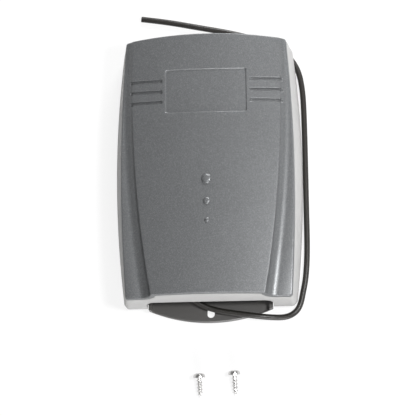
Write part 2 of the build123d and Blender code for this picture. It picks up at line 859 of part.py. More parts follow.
def antenna_core():
    # The lead's stripped core and its screen, each run into one pole of the antenna terminal.
    start = Vector(*cable_points[0])
    away = (start - Vector(*cable_points[1])).normalized()
    leads = []
    for pole in range(antenna_poles):
        side = pole - (antenna_poles - 1) / 2
        mouth_x = antenna_left + (pole + 0.5) * terminal_pitch
        first = start + away * core_gap + Vector(side * core_spread, 0, 0)
        last = Vector(mouth_x, terminal_front_y + entry_depth - core_gap, entry_level)
        line = Line(first, last)
        leads.append(sweep(Plane(first, z_dir=line % 0) * Circle(core_diameter / 2), path=line))
    return Compound(children=leads)


def loose_screw(x, y, turn, length):
    # One fixing screw lying on its head's rim and its tip, with the tip at the given place.
    screw = pan_screw(screw_head, screw_head_height, screw_shank, length, screw_tip_length)
    straight = length - screw_tip_length
    tilt = math.atan2((screw_head - screw_shank) / 2, straight)
    lift = screw_shank / 2 * math.cos(tilt) - screw_tip_length * math.sin(tilt)
    lying = Rot(math.degrees(tilt) - 90, 0, 0) * Pos(0, 0, length) * screw
    return Pos(x, y, lift) * Rot(0, 0, turn) * lying


os.makedirs("parts", exist_ok=True)

write(wall_base(), "wall_base")
write(housing_frame(), "housing_frame")
write(front_fascia(), "front_fascia")
write(circuit_board(), "circuit_board")
write(board_screws(), "board_screws")
write(terminal_place(power_left) * terminal_block(power_poles), "power_terminal")
write(terminal_place(antenna_left) * terminal_block(antenna_poles), "antenna_terminal")
for number in range(2):
    left = output_left + number * output_poles * terminal_pitch
    write(terminal_place(left) * terminal_block(output_poles), f"output_terminal_{number + 1}")
    write(relay_place(number) * relay(), f"relay_{number + 1}")
    write(switch_places[number] * learn_button(), f"learn_button_{number + 1}")
write(terminal_screws(), "terminal_screws")
write(filter_capacitors(), "filter_capacitors")
write(rectifier_diodes(), "rectifier_diodes")
write(on_board(varistor_column, varistor_row) * surge_varistor(), "surge_varistor")
write(on_board(supply_column, regulator_row) * voltage_regulator(), "voltage_regulator")
controller_place = on_board(controller_column, controller_row)
write(controller_place * chip_socket(controller_pin_count), "controller_socket")
write(controller_place * Pos(0, 0, socket_height) * chip(controller_pin_count), "microcontroller")
memory_place = on_board(memory_column, memory_row)
write(memory_place * chip_socket(memory_pin_count), "memory_socket")
write(memory_place * Pos(0, 0, socket_height) * chip(memory_pin_count), "memory_chip")
write(on_board(crystal_column, crystal_row) * clock_crystal(), "clock_crystal")
transistors = [on_board(transistor_column, transistor_row + number * transistor_pitch) * small_transistor()
               for number in range(2)]
write(Compound(children=transistors), "relay_transistors")
write(chip_resistors(), "chip_resistors")
lamps = [on_board(column, lamp_row) * status_led() for column in switch_columns]
write(Compound(children=lamps), "status_leds")
header_place = on_board(header_column, header_row)
write(header_place * pin_header(2, header_rows, header_pin_height), "mode_header")
caps = [header_place * Pos(0, row * header_pitch, header_base) * jumper_cap() for row in (-1, 1)]
write(Compound(children=caps), "jumper_caps")
write(Compound(children=[place * switch_cup() for place in switch_places]), "learn_switches")
write(Compound(children=[place * switch_plate() for place in switch_places]), "learn_switch_covers")
write(module_place * receiver_module(), "receiver_module")
strip = Pos(0, strip_from_edge - module_width / 2, 0) * pin_header(module_pins, 1, module_stand)
write(module_place * strip, "module_pins")
module_top = module_stand + module_thickness
write(module_place * Pos(*can_place, module_top) * shield_can(), "shield_can")
write(module_place * Pos(*coil_place, module_top) * tuning_coil(), "tuning_coil")
write(antenna_cable(), "antenna_cable")
write(antenna_core(), "antenna_core")
write(Compound(children=[loose_screw(*place) for place in loose_screws]), "fixing_screws")
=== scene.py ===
import math
import bpy
import numpy as np
from mathutils import Matrix, Vector


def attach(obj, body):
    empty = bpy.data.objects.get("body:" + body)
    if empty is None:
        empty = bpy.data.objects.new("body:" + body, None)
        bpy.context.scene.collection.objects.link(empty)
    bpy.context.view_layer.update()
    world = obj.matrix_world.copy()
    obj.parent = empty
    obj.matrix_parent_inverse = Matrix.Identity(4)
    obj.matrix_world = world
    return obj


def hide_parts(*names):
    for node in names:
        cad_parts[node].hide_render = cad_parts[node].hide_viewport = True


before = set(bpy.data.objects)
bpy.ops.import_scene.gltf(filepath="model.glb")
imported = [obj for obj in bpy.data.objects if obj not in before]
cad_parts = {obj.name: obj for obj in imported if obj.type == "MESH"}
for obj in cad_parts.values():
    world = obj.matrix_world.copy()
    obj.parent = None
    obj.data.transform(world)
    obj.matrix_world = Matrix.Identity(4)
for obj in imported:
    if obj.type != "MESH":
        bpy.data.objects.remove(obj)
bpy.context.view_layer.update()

mm = 0.001  # values are in millimetres where no note says otherwise
scene = bpy.context.scene
scene.view_settings.view_transform = "Standard"

cameraView = {
    "position": (0.0516, -0.2165, 0.8204),  # metres, as lookAt
    "lookAt": (-0.0011, -0.0154, 0.0),
    "rollDegrees": -0.57,
    "lens": 151.58,
    "sensor": 36.0,
    "nearest": 0.01,
    "farthest": 20.0,
}


def makeCamera(view):
    # looks from position to lookAt with the receiver's top upwards, then rolls about its own axis
    data = bpy.data.cameras.new("camera")
    camera = bpy.data.objects.new("camera", data)
    scene.collection.objects.link(camera)
    place = Vector(view["position"])
    back = (place - Vector(view["lookAt"])).normalized()
    right = Vector((0, 1, 0)).cross(back).normalized()
    axes = Matrix((right, back.cross(right), back)).transposed().to_4x4()
    roll = Matrix.Rotation(math.radians(view["rollDegrees"]), 4, "Z")
    camera.matrix_world = Matrix.Translation(place) @ axes @ roll
    data.lens = view["lens"]
    data.sensor_width = view["sensor"]
    data.clip_start = view["nearest"]
    data.clip_end = view["farthest"]
    scene.camera = camera


makeCamera(cameraView)

antennaCable = {
    "diameter": 2.8,
    "length": 0.2671,  # metres; the rest is in millimetres
    "bevelSteps": 6,
    "pathSteps": 24,
    "points": [  # from inside the terminal to the bare end
        (-11.2, -52.8, 9.1), (-11.1, -56.6, 8.2), (-9.3, -60.1, 6.4), (-5.9, -63.0, 4.6),
        (-0.8, -65.3, 3.9), (5.0, -66.9, 3.8), (11.5, -67.95, 3.85), (18.0, -69.0, 4.0),
        (23.4, -69.7, 3.6), (28.6, -69.95, 2.05), (34.2, -70.1, 1.5), (38.1, -69.1, 1.55),
        (41.0, -66.8, 1.5), (42.7, -63.5, 1.55), (43.9, -58.0, 1.5), (45.4, -51.0, 1.55),
        (46.35, -38.0, 1.5), (46.3, -16.0, 1.55), (46.35, 8.0, 1.5), (46.3, 28.0, 1.55),
        (45.9, 42.5, 1.5), (43.9, 53.2, 1.55), (38.2, 61.6, 1.5), (27.5, 67.8, 1.55),
        (13.0, 72.4, 1.5), (-5.0, 76.2, 1.55), (-21.0, 79.7, 1.5), (-33.1, 81.45, 1.55),
    ],
}


def makeCable(cable):
    # a round cord: a NURBS line of order 3 that the points guide, from its terminal to its bare end
    curve = bpy.data.curves.new("antennaCable", "CURVE")
    curve.dimensions = "3D"
    line = curve.splines.new("NURBS")
    line.points.add(len(cable["points"]) - 1)
    places = np.array(cable["points"]) * mm
    line.points.foreach_set("co", np.column_stack([places, np.ones(len(places))]).ravel())
    line.points.foreach_set("radius", np.full(len(places), cable["diameter"] / 2 * mm))
    line.order_u = 3
    line.use_endpoint_u = True
    line.resolution_u = cable["pathSteps"]
    curve.bevel_depth = 1.0  # times each point's radius, so that the box round the piece fits it
    curve.bevel_resolution = cable["bevelSteps"]
    curve.use_fill_caps = True
    piece = bpy.data.objects.new("antennaCable", curve)
    scene.collection.objects.link(piece)
    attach(piece, "base")
    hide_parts("antenna_cable")
    return piece


cablePiece = makeCable(antennaCable)
print("stage: camera and cable")

studio = {  # metres and watts
    "floorSize": 4.0,
    "floorColour": (0.9, 0.9, 0.9, 1),
    "floorGlow": 0.85,
    "floorRoughness": 0.9,
    "floorSpecular": 0.1,
    "worldLevel": 0.1,
    "overheadLevel": 0.2,
    "overheadFrom": 0.1,
    "overheadTo": 0.6,
    "lamps": {
        "keyLamp": {"place": (0.30, -0.09, 0.52), "size": 0.12, "power": 3.4},
        "topLamp": {"place": (0.16, 0.52, 0.30), "size": 0.26, "power": 4.6},
        "frontLamp": {"place": (0.10, -0.70, 0.16), "size": 0.3, "power": 3.8},
        "smallLamp": {"place": (0.0, -0.20, 0.78), "size": 0.06, "power": 0.6},
    },
}


def directSight(tree):
    # 1 where a camera, glossy or transmission ray looks: the backdrop is white to those
    path = tree.nodes.new("ShaderNodeLightPath")
    mask = path.outputs["Is Camera Ray"]
    for ray in ("Is Glossy Ray", "Is Transmission Ray"):
        either = tree.nodes.new("ShaderNodeMath")
        either.operation = "MAXIMUM"
        tree.links.new(mask, either.inputs[0])
        tree.links.new(path.outputs[ray], either.inputs[1])
        mask = either.outputs[0]
    return mask


def makeWorld(values):
    # soft ambient light; a direct look sees white near the horizon and a darker room overhead
    world = bpy.data.worlds.new("studio")
    scene.world = world
    world.use_nodes = True
    tree = world.node_tree
    background = tree.nodes["Background"]
    background.inputs["Color"].default_value = (1, 1, 1, 1)
    direction = tree.nodes.new("ShaderNodeSeparateXYZ")
    tree.links.new(tree.nodes.new("ShaderNodeTexCoord").outputs["Generated"], direction.inputs[0])
    overhead = tree.nodes.new("ShaderNodeMapRange")
    overhead.interpolation_type = "SMOOTHSTEP"
    overhead.inputs["From Min"].default_value = values["overheadFrom"]
    overhead.inputs["From Max"].default_value = values["overheadTo"]
    overhead.inputs["To Min"].default_value = 1.0
    overhead.inputs["To Max"].default_value = values["overheadLevel"]
    tree.links.new(direction.outputs["Z"], overhead.inputs["Value"])
    level = tree.nodes.new("ShaderNodeMix")
    level.data_type = "FLOAT"
    level.inputs[2].default_value = values["worldLevel"]
    tree.links.new(overhead.outputs[0], level.inputs[3])
    tree.links.new(directSight(tree), level.inputs[0])
    tree.links.new(level.outputs[0], background.inputs["Strength"])


def makeLamp(name, lampLook):
    # a round soft lamp that looks at the origin
    data = bpy.data.lights.new(name, "AREA")
    data.shape = "DISK"
    data.size = lampLook["size"]
    data.energy = lampLook["power"]
    lamp = bpy.data.objects.new(name, data)
    lamp.location = lampLook["place"]
    lamp.rotation_euler = Vector(lampLook["place"]).to_track_quat("Z", "Y").to_euler()
    scene.collection.objects.link(lamp)


def makeFloor(values):
    # white paper: it takes the object's shadow, and shows mostly plain white to a direct look
    half = values["floorSize"] / 2
    mesh = bpy.data.meshes.new("floor")
    corners = [(-half, -half, 0), (half, -half, 0), (half, half, 0), (-half, half, 0)]
    mesh.from_pydata(corners, [], [(0, 1, 2, 3)])
    floor = bpy.data.objects.new("floor", mesh)
    scene.collection.objects.link(floor)
    paper = bpy.data.materials.new("floorPaper")
    paper.use_nodes = True
    tree = paper.node_tree
    shader = tree.nodes["Principled BSDF"]
    shader.inputs["Base Color"].default_value = values["floorColour"]
    shader.inputs["Roughness"].default_value = values["floorRoughness"]
    shader.inputs["Specular IOR Level"].default_value = values["floorSpecular"]
    glow = tree.nodes.new("ShaderNodeEmission")
    blend = tree.nodes.new("ShaderNodeMixShader")
    share = tree.nodes.new("ShaderNodeMath")
    share.operation = "MULTIPLY"
    share.inputs[1].default_value = values["floorGlow"]
    tree.links.new(directSight(tree), share.inputs[0])
    tree.links.new(share.outputs[0], blend.inputs[0])
    tree.links.new(shader.outputs[0], blend.inputs[1])
    tree.links.new(glow.outputs[0], blend.inputs[2])
    tree.links.new(blend.outputs[0], tree.nodes["Material Output"].inputs["Surface"])
    mesh.materials.append(paper)


makeWorld(studio)
for lampName, lampLook in studio["lamps"].items():
    makeLamp(lampName, lampLook)
makeFloor(studio)
print("stage: floor and light")

shellForm = {  # a lean is how far a face or a corner's radius draws in from the rim to the front
    "rimLevel": 3.3,
    "frontLevel": 19.7,
    "rimHalfWidth": 45.0,
    "sideLean": 3.8,
    "rimSideCurve": 1 / 525,  # one over the side's radius, as frontSideCurve
    "frontSideCurve": 1 / 800,
    "frontWidestAt": -2.0,
    "rimBottom": -65.0,
    "bottomLean": 2.0,
    "rimTop": 67.0,
    "topLean": 1.9,
    "topRadius": 250.0,
    "topCorner": 1.9,
    "bottomCorner": 2.4,
    "topCornerLean": 0.6,
    "bottomCornerLean": 1.0,
}
searchRounds = {"corner": 3, "outline": 8, "border": 6, "front": 7}  # rounds in which a search settles


def shellAt(level, form=shellForm):
    # the outer face's plan at a level: every size changes evenly from the rim to the front
    share = (level - form["rimLevel"]) / (form["frontLevel"] - form["rimLevel"])
    curve = form["rimSideCurve"] + share * (form["frontSideCurve"] - form["rimSideCurve"])
    return {
        "halfWidth": form["rimHalfWidth"] - share * form["sideLean"],
        "sideRadius": 1 / curve,
        "widest": share * form["frontWidestAt"],
        "low": form["rimBottom"] + share * form["bottomLean"],
        "high": form["rimTop"] - share * form["topLean"],
        "topCorner": form["topCorner"] - share * form["topCornerLean"],
        "bottomCorner": form["bottomCorner"] - share * form["bottomCornerLean"],
    }


def cornerAt(plan, deep, isUpper, form=shellForm):
    # the right-hand point that lies equally deep inside the side arc and inside the end
    x = plan["halfWidth"] - deep
    for _ in range(searchRounds["corner"]):
        if isUpper:
            y = plan["high"] - form["topRadius"] + np.sqrt((form["topRadius"] - deep) ** 2 - x ** 2)
        else:
            y = plan["low"] + deep
        x = (plan["halfWidth"] - plan["sideRadius"]
             + np.sqrt((plan["sideRadius"] - deep) ** 2 - (y - plan["widest"]) ** 2))
    return x, y


def outlineDepth(x, y, level, form=shellForm):
    # Depth inside the outer face and the outward direction: along a side or an end the distance to
    # that arc or line, and round a corner its radius less the distance to the corner's centre.
    plan = shellAt(level)
    hand = np.where(x < 0, -1.0, 1.0)
    centreX = hand * (plan["halfWidth"] - plan["sideRadius"])
    reach = np.hypot(x - centreX, y - plan["widest"])
    side = plan["sideRadius"] - reach
    sideX = (x - centreX) / reach
    sideY = (y - plan["widest"]) / reach
    isUpper = y > 0
    topY = y - plan["high"] + form["topRadius"]
    topReach = np.hypot(x, topY)
    end = np.where(isUpper, form["topRadius"] - topReach, y - plan["low"])
    endX = np.where(isUpper, x / topReach, 0.0)
    endY = np.where(isUpper, topY / topReach, -1.0)
    radius = np.where(isUpper, plan["topCorner"], plan["bottomCorner"])
    upper, lower = cornerAt(plan, plan["topCorner"], True), cornerAt(plan, plan["bottomCorner"], False)
    awayX = x - hand * np.where(isUpper, upper[0], lower[0])
    awayY = y - np.where(isUpper, upper[1], lower[1])
    away = np.maximum(np.hypot(awayX, awayY), 1e-9)  # never zero, as it divides
    # in a corner, the direction from its centre lies between the side's and the end's
    fan = sideX * endY - sideY * endX
    inCorner = ((sideX * awayY - sideY * awayX) * fan > 0) & ((awayX * endY - awayY * endX) * fan > 0)
    isSide = side < end
    depth = np.where(inCorner, radius - away, np.minimum(side, end))
    outX = np.where(inCorner, awayX / away, np.where(isSide, sideX, endX))
    outY = np.where(inCorner, awayY / away, np.where(isSide, sideY, endY))
    return depth, outX, outY


def ontoOutline(x, y, level, inset):
    # moves plan points along the outward direction until they lie inset inside the outer face
    for _ in range(searchRounds["outline"]):
        depth, outX, outY = outlineDepth(x, y, level)
        x = x + outX * (depth - inset)
        y = y + outY * (depth - inset)
    return x, y


def cornerMiddle(level, inset, isUpper):
    # the middle of a corner's line: from the corner's centre outwards by what is left of its radius
    plan = shellAt(level)
    radius = plan["topCorner"] if isUpper else plan["bottomCorner"]
    x, y = cornerAt(plan, np.maximum(radius, inset), isUpper)
    left = np.maximum(radius - inset, 0) * math.sqrt(0.5)
    return x + left, y + (left if isUpper else -left)


frontForm = {  # a crowned panel, and on each side a drafted wall, a hollow and a flank
    "crownRadius": 210.0,
    "crownLevel": 26.8,
    "edgeAt": 34.9,
    "edgeRadius": 583.0,
    "edgeMiddle": 35.0,
    "edgeLevel": 24.5,
    "edgeSoft": 0.5,
    "leastSoft": 0.02,
    "wallDraft": math.radians(9.0),
    "flankLevel": 19.35,
    "lowLift": 1.2,  # of the flank's level, over lowLiftRange along y
    "lowLiftRange": (-63.0, -37.0),
    "highLift": 1.0,
    "highLiftRange": (6.0, 66.0),
    "flankRise": math.radians(2.5),
    "flankFall": 0.015,  # times the square of the way along the flank
    "hollow": 5.2,
}


def smoothStep(t):
    # 3 t^2 - 2 t^3 between 0 and 1, level outside
    t = np.clip(t, 0, 1)
    return t * t * (3 - 2 * t)


def edgeLine(y, form=frontForm):
    # x of the panel's edge, an arc of edgeRadius, and how far one radial step goes along x there
    rise = np.sqrt(form["edgeRadius"] ** 2 - (y - form["edgeMiddle"]) ** 2)
    return form["edgeAt"] - form["edgeRadius"] + rise, form["edgeRadius"] / rise


def hollowCentre(y, form=frontForm):
    # Centre of the hollow's arc, its radius away from the drafted wall and from the flank. The flank's
    # level rises along y, by 1 - (1 - share)^2 near the low end and by a smooth step towards the top.
    draft, rise = form["wallDraft"], form["flankRise"]
    first, last = form["lowLiftRange"]
    lowShare = np.clip((y - first) / (last - first), 0, 1)
    first, last = form["highLiftRange"]
    level = (form["flankLevel"] + form["lowLift"] * (1 - (1 - lowShare) ** 2)
             + form["highLift"] * smoothStep((y - first) / (last - first)))
    wallReach = form["edgeLevel"] * math.sin(draft) + form["hollow"]
    flankReach = level * math.cos(rise) + form["hollow"]
    span = math.cos(draft - rise)
    return ((wallReach * math.cos(rise) - flankReach * math.sin(draft)) / span,
            (wallReach * math.sin(rise) + flankReach * math.cos(draft)) / span)


def edgeRounding(y, depth, form=frontForm):
    # Centre of the edge's rounding, depth below the crown's cylinder and depth inside the wall's
    # line or the hollow's circle, whichever it meets, with the angle at which it meets it.
    edge, grow = edgeLine(y)
    draft = form["wallDraft"]
    axis = form["crownLevel"] - form["crownRadius"]
    radius = form["crownRadius"] - depth
    slope = -math.tan(draft) * grow
    start = edge + grow * (form["edgeLevel"] * math.sin(draft) - depth) / math.cos(draft)
    # the wall's line meets the crown's circle
    a = 1 + slope ** 2
    b = 2 * (slope * start - axis)
    c = start ** 2 + axis ** 2 - radius ** 2
    wallZ = (-b + np.sqrt(b * b - 4 * a * c)) / (2 * a)
    wallX = start + slope * wallZ
    # the hollow's circle meets the crown's circle
    across, up = hollowCentre(y)
    middle = edge + grow * across
    apart = np.hypot(middle, up - axis)
    along = (apart ** 2 + radius ** 2 - (form["hollow"] + depth) ** 2) / (2 * apart)
    aside = np.sqrt(np.maximum(radius ** 2 - along ** 2, 0))
    arcX = (along * middle - aside * (up - axis)) / apart
    arcZ = axis + (along * (up - axis) + aside * middle) / apart
    turn = np.arctan2(up - arcZ, middle - arcX)
    onArc = turn > draft
    return np.where(onArc, arcX, wallX), np.where(onArc, arcZ, wallZ), np.where(onArc, turn, draft)


def frontSection(y, offset, kind, value, side, form=frontForm):
    # One cross-section of the front, set back by offset: the crown's circle, the edge's rounding by
    # its angle, then drafted wall, hollow arc and crowned flank by length, ending at x = side.
    draft, rise = form["wallDraft"], form["flankRise"]
    axis = form["crownLevel"] - form["crownRadius"]
    soft = max(form["edgeSoft"] - offset, form["leastSoft"])
    roundX, roundZ, turn = edgeRounding(y, offset + soft)
    # the panel and the rounding of its edge
    firstTurn = np.arctan2(roundZ - axis, roundX)
    fixedEnd = value[kind == 0].max()
    panelX = np.where(kind == 0, value, fixedEnd + value * (roundX + soft * np.cos(firstTurn) - fixedEnd))
    panelZ = axis + np.sqrt((form["crownRadius"] - offset) ** 2 - panelX ** 2)
    angle = firstTurn + value * (turn - firstTurn)
    # where the wall, the hollow and the flank begin, and how long each is up to the side
    edge, grow = edgeLine(y)
    across, up = hollowCentre(y)
    radius = form["hollow"] + offset
    middle = edge + grow * across
    wallX = roundX + soft * np.cos(turn)
    wallZ = roundZ + soft * np.sin(turn)
    arcX = middle - grow * radius * np.cos(turn)
    arcZ = up - radius * np.sin(turn)
    wall = np.where(turn > draft + 1e-6, 0.0, np.hypot(arcX - wallX, arcZ - wallZ))
    arcEnd = math.pi / 2 + rise
    flankX = middle + grow * radius * math.sin(rise)
    sideTurn = np.clip(np.arccos(np.clip((middle - side) / (grow * radius), -1, 1)), turn, arcEnd)
    beyond = np.maximum(side - flankX, 0) / math.cos(rise) / grow
    length = wall + radius * (np.where(side < flankX, sideTurn, arcEnd) - turn) + beyond
    # each point of the side by its way along them
    way = value * length
    share = np.clip(way / np.maximum(wall, 1e-6), 0, 1)
    bend = turn + np.maximum(way - wall, 0) / radius
    onFlank = np.maximum(bend - arcEnd, 0) * radius
    bend = np.minimum(bend, arcEnd)
    sideX = np.where(way < wall, wallX + share * (arcX - wallX),
                     middle - grow * radius * np.cos(bend) + grow * onFlank * math.cos(rise))
    sideZ = np.where(way < wall, wallZ + share * (arcZ - wallZ),
                     up - radius * np.sin(bend) + onFlank * math.sin(rise)
                     - form["flankFall"] * onFlank ** 2)
    x = np.select([kind < 2, kind == 2], [panelX, roundX + soft * np.cos(angle)], sideX)
    z = np.select([kind < 2, kind == 2], [panelZ, roundZ + soft * np.sin(angle)], sideZ)
    return x, z


panelMarks = {
    "labelHalf": (19.3, 10.65),
    "labelMiddle": 35.8,
    "labelCorner": 0.8,
    "labelDepth": 0.45,
    "grooveHalfWidth": 0.85,
    "grooveEnds": (20.9, 36.6),  # x of both ends
    "groovePitch": 5.25,
    "grooveDepth": 0.75,
    "domes": ((-7.7, 4.7, 1.0), (-18.4, 3.3, 0.8), (-27.6, 2.1, 0.55)),  # y, width and height
    "labelSoft": 0.4,
    "grooveSoft": 0.56,
}


def markHeight(x, y, marks=panelMarks):
    # Height the marks add: minus a depth times a smooth step of the distance inside the label place
    # and the round-ended grooves, plus on each dome its rise times (1 - (distance / half width)^4)^0.5.
    middle, corner = marks["labelMiddle"], marks["labelCorner"]
    overX = np.abs(x) - marks["labelHalf"][0] + corner
    overY = np.abs(y - middle) - marks["labelHalf"][1] + corner
    inside = (corner - np.hypot(np.maximum(overX, 0), np.maximum(overY, 0))
              - np.minimum(np.maximum(overX, overY), 0))
    height = -marks["labelDepth"] * smoothStep(inside / marks["labelSoft"] + 0.5)
    first, last = marks["grooveEnds"]
    half = marks["grooveHalfWidth"]
    overX = np.maximum(np.abs(np.abs(x) - (first + last) / 2) - (last - first) / 2 + half, 0)
    for row in (-1, 0, 1):
        inside = half - np.hypot(overX, y - middle - row * marks["groovePitch"])
        height = height - marks["grooveDepth"] * smoothStep(inside / marks["grooveSoft"] + 0.5)
    for place, width, rise in marks["domes"]:
        reach = np.hypot(x, y - place) / (width / 2)
        height = height + rise * np.sqrt(np.maximum(1 - reach ** 4, 0))
    return height


frontGrid = {
    "fixedEnd": 22.4,  # up to this x the columns keep their places
    "plainColumns": 15,
    "edgeColumns": 9,
    "roundColumns": 7,
    "sideColumns": 36,
    "plainRows": 62,
    "lowTurn": -50.0,  # beyond the turns the rows spread towards the outline
    "highTurn": 50.0,
    "lowEnd": -63.0,
    "highEnd": 66.0,
    "stepSpread": (-0.5, -0.2, -0.12, -0.05, 0.02, 0.09, 0.16, 0.5),
    "grooveSpread": (-0.45, -0.24, -0.12, 0.0, 0.12, 0.24, 0.45),
    "grooveEndSpread": (-0.2, -0.08, 0.02, 0.14, 0.3, 0.5, 0.8),
    "domeColumns": (2.7, 22),  # up to this x, this many
    "domeRows": (1.15, 25),  # up to this many half widths each way, this many
    "endRows": (0.3, 5.0, 12),  # from here to here off each end, this many
    "least": 0.045,  # between two lines
    "lastGap": 0.1,
    "firstReach": 38.0,  # with the next two, where the searches start
    "firstSide": 40.0,
    "firstLevel": 21.0,
    "leastSlope": 0.5,
}


def spreadLines(places, spread):
    # a line at every place plus every spread
    return (np.asarray(places)[:, None] + np.asarray(spread)[None, :]).ravel()


def sortedLines(groups, least):
    # all lines in order, without those closer than least to the one before
    lines = np.sort(np.concatenate(groups))
    return lines[np.concatenate(([True], np.diff(lines) > least))]


def gridLines(grid=frontGrid, marks=panelMarks):
    # Columns as kinds and values, and rows as nominal y, crowded where a mark has its edge. Kinds: 0 is
    # an x on the panel, 1 a share of the way to the panel's edge, 2 of its rounding, 3 of the side.
    across = [np.linspace(0, grid["fixedEnd"], grid["plainColumns"]), np.linspace(0, *grid["domeColumns"]),
              spreadLines([marks["labelHalf"][0]], grid["stepSpread"]),
              spreadLines([marks["grooveEnds"][0]], grid["grooveEndSpread"])]
    fixed = sortedLines(across, grid["least"])
    fixed = np.append(fixed[fixed < grid["fixedEnd"] - grid["lastGap"]], grid["fixedEnd"])
    parts = [fixed] + [np.linspace(0, 1, grid[name])[1:]
                       for name in ("edgeColumns", "roundColumns", "sideColumns")]
    kind = np.concatenate([np.full(len(part), number) for number, part in enumerate(parts)])
    middle = marks["labelMiddle"]
    labelEdges = middle + np.array([-1, 1]) * marks["labelHalf"][1]
    grooveEdges = [middle + row * marks["groovePitch"] + side * marks["grooveHalfWidth"]
                   for row in (-1, 0, 1) for side in (-1, 1)]
    up = [np.linspace(grid["lowEnd"], grid["highEnd"], grid["plainRows"]),
          spreadLines(labelEdges, grid["stepSpread"]),
          spreadLines(grooveEdges, grid["grooveSpread"]),
          grid["lowEnd"] + np.linspace(*grid["endRows"]), grid["highEnd"] - np.linspace(*grid["endRows"])]
    reach, count = grid["domeRows"]
    up += [place + width / 2 * np.linspace(-reach, reach, count) for place, width, _ in marks["domes"]]
    rows = sortedLines(up, grid["least"])
    rows = np.append(rows[rows < grid["highEnd"] - grid["lastGap"]], grid["highEnd"])
    return kind, np.concatenate(parts), rows


def frontPoints(offset, inset, grid=frontGrid):
    # The front as a grid of points whose border lies inset inside the outer face: rows bend towards
    # the two ends in even shares, and each section stops at the side. Each search steps by the depth
    # still missing over the slope of its way, which counts as leastSlope or more.
    kind, value, rows = gridLines()
    nominal = np.repeat(rows[:, None], len(kind), axis=1)
    y = nominal.copy()
    x = np.repeat(np.linspace(0, grid["firstReach"], len(kind))[None, :], len(rows), axis=0)
    z = np.full(y.shape, grid["firstLevel"])
    for _ in range(searchRounds["front"]):
        lowX, lowY = cornerMiddle(z, inset, False)
        highX, highY = cornerMiddle(z, inset, True)
        reachLow = np.full(y.shape, grid["lowEnd"])
        reachHigh = np.full(y.shape, grid["highEnd"])
        for _ in range(searchRounds["border"]):
            depth, _, outY = outlineDepth(np.minimum(x, lowX), reachLow, z)
            reachLow = reachLow - (depth - inset) / np.maximum(-outY, grid["leastSlope"])
            depth, _, outY = outlineDepth(np.minimum(x, highX), reachHigh, z)
            reachHigh = reachHigh + (depth - inset) / np.maximum(outY, grid["leastSlope"])
        high = (nominal - grid["highTurn"]) / (grid["highEnd"] - grid["highTurn"])
        low = (nominal - grid["lowTurn"]) / (grid["lowEnd"] - grid["lowTurn"])
        y = np.where(high > 0, grid["highTurn"] + high * (reachHigh - grid["highTurn"]),
                     np.where(low > 0, grid["lowTurn"] + low * (reachLow - grid["lowTurn"]), nominal))
        held = np.clip(y, lowY, highY)
        side = np.full(y.shape, grid["firstSide"])
        for _ in range(searchRounds["border"]):
            depth, outX, _ = outlineDepth(side, held, z)
            side = side + (depth - inset) / np.maximum(outX, grid["leastSlope"])
        x, z = frontSection(y, offset, kind, value, side)
    mirrored = [np.concatenate([sign * part[:, :0:-1], part], axis=1)
                for sign, part in ((-1, x), (1, y), (1, z))]
    return np.stack(mirrored, axis=-1)


def borderOf(points):
    # the grid's border as one loop: along the bottom, up the right, back along the top, down the left
    return np.concatenate([points[0], points[1:, -1], points[-1, -2::-1], points[-2:0:-1, 0]])


def gridFaces(index):
    # quads of a grid of indices, facing up where its rows go along y and its columns along x
    corners = [index[:-1, :-1], index[:-1, 1:], index[1:, 1:], index[1:, :-1]]
    return np.stack(corners, axis=-1).reshape(-1, 4)


def bandFaces(upper, lower):
    # quads between two loops of indices, facing outwards where lower is outside or below upper
    return np.stack([upper, lower, np.roll(lower, -1), np.roll(upper, -1)], axis=-1)


def ringFaces(loops):
    # quads between each loop of indices and the next, and from the last back to the first
    return [bandFaces(upper, lower) for upper, lower in zip(loops, loops[1:] + loops[:1])]


def makePiece(name, points, faces, body, replaced, sharpDegrees):
    # one mesh from whole arrays in millimetres, smooth except across edges sharper than the angle
    mesh = bpy.data.meshes.new(name)
    mesh.from_pydata((points * mm).tolist(), [], faces)
    mesh.polygons.foreach_set("use_smooth", np.ones(len(mesh.polygons), bool))
    mesh.set_sharp_from_angle(angle=math.radians(sharpDegrees))
    mesh.update()
    piece = bpy.data.objects.new(name, mesh)
    scene.collection.objects.link(piece)
    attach(piece, body)
    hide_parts(replaced)
    return piece


fasciaShell = {
    "rim": 0.42,
    "rimSteps": 4,
    "thickness": 2.0,
    "landInset": 2.0,
    "lipInset": 3.4,
    "lipLevel": 15.0,
    "sharpDegrees": 38,
}


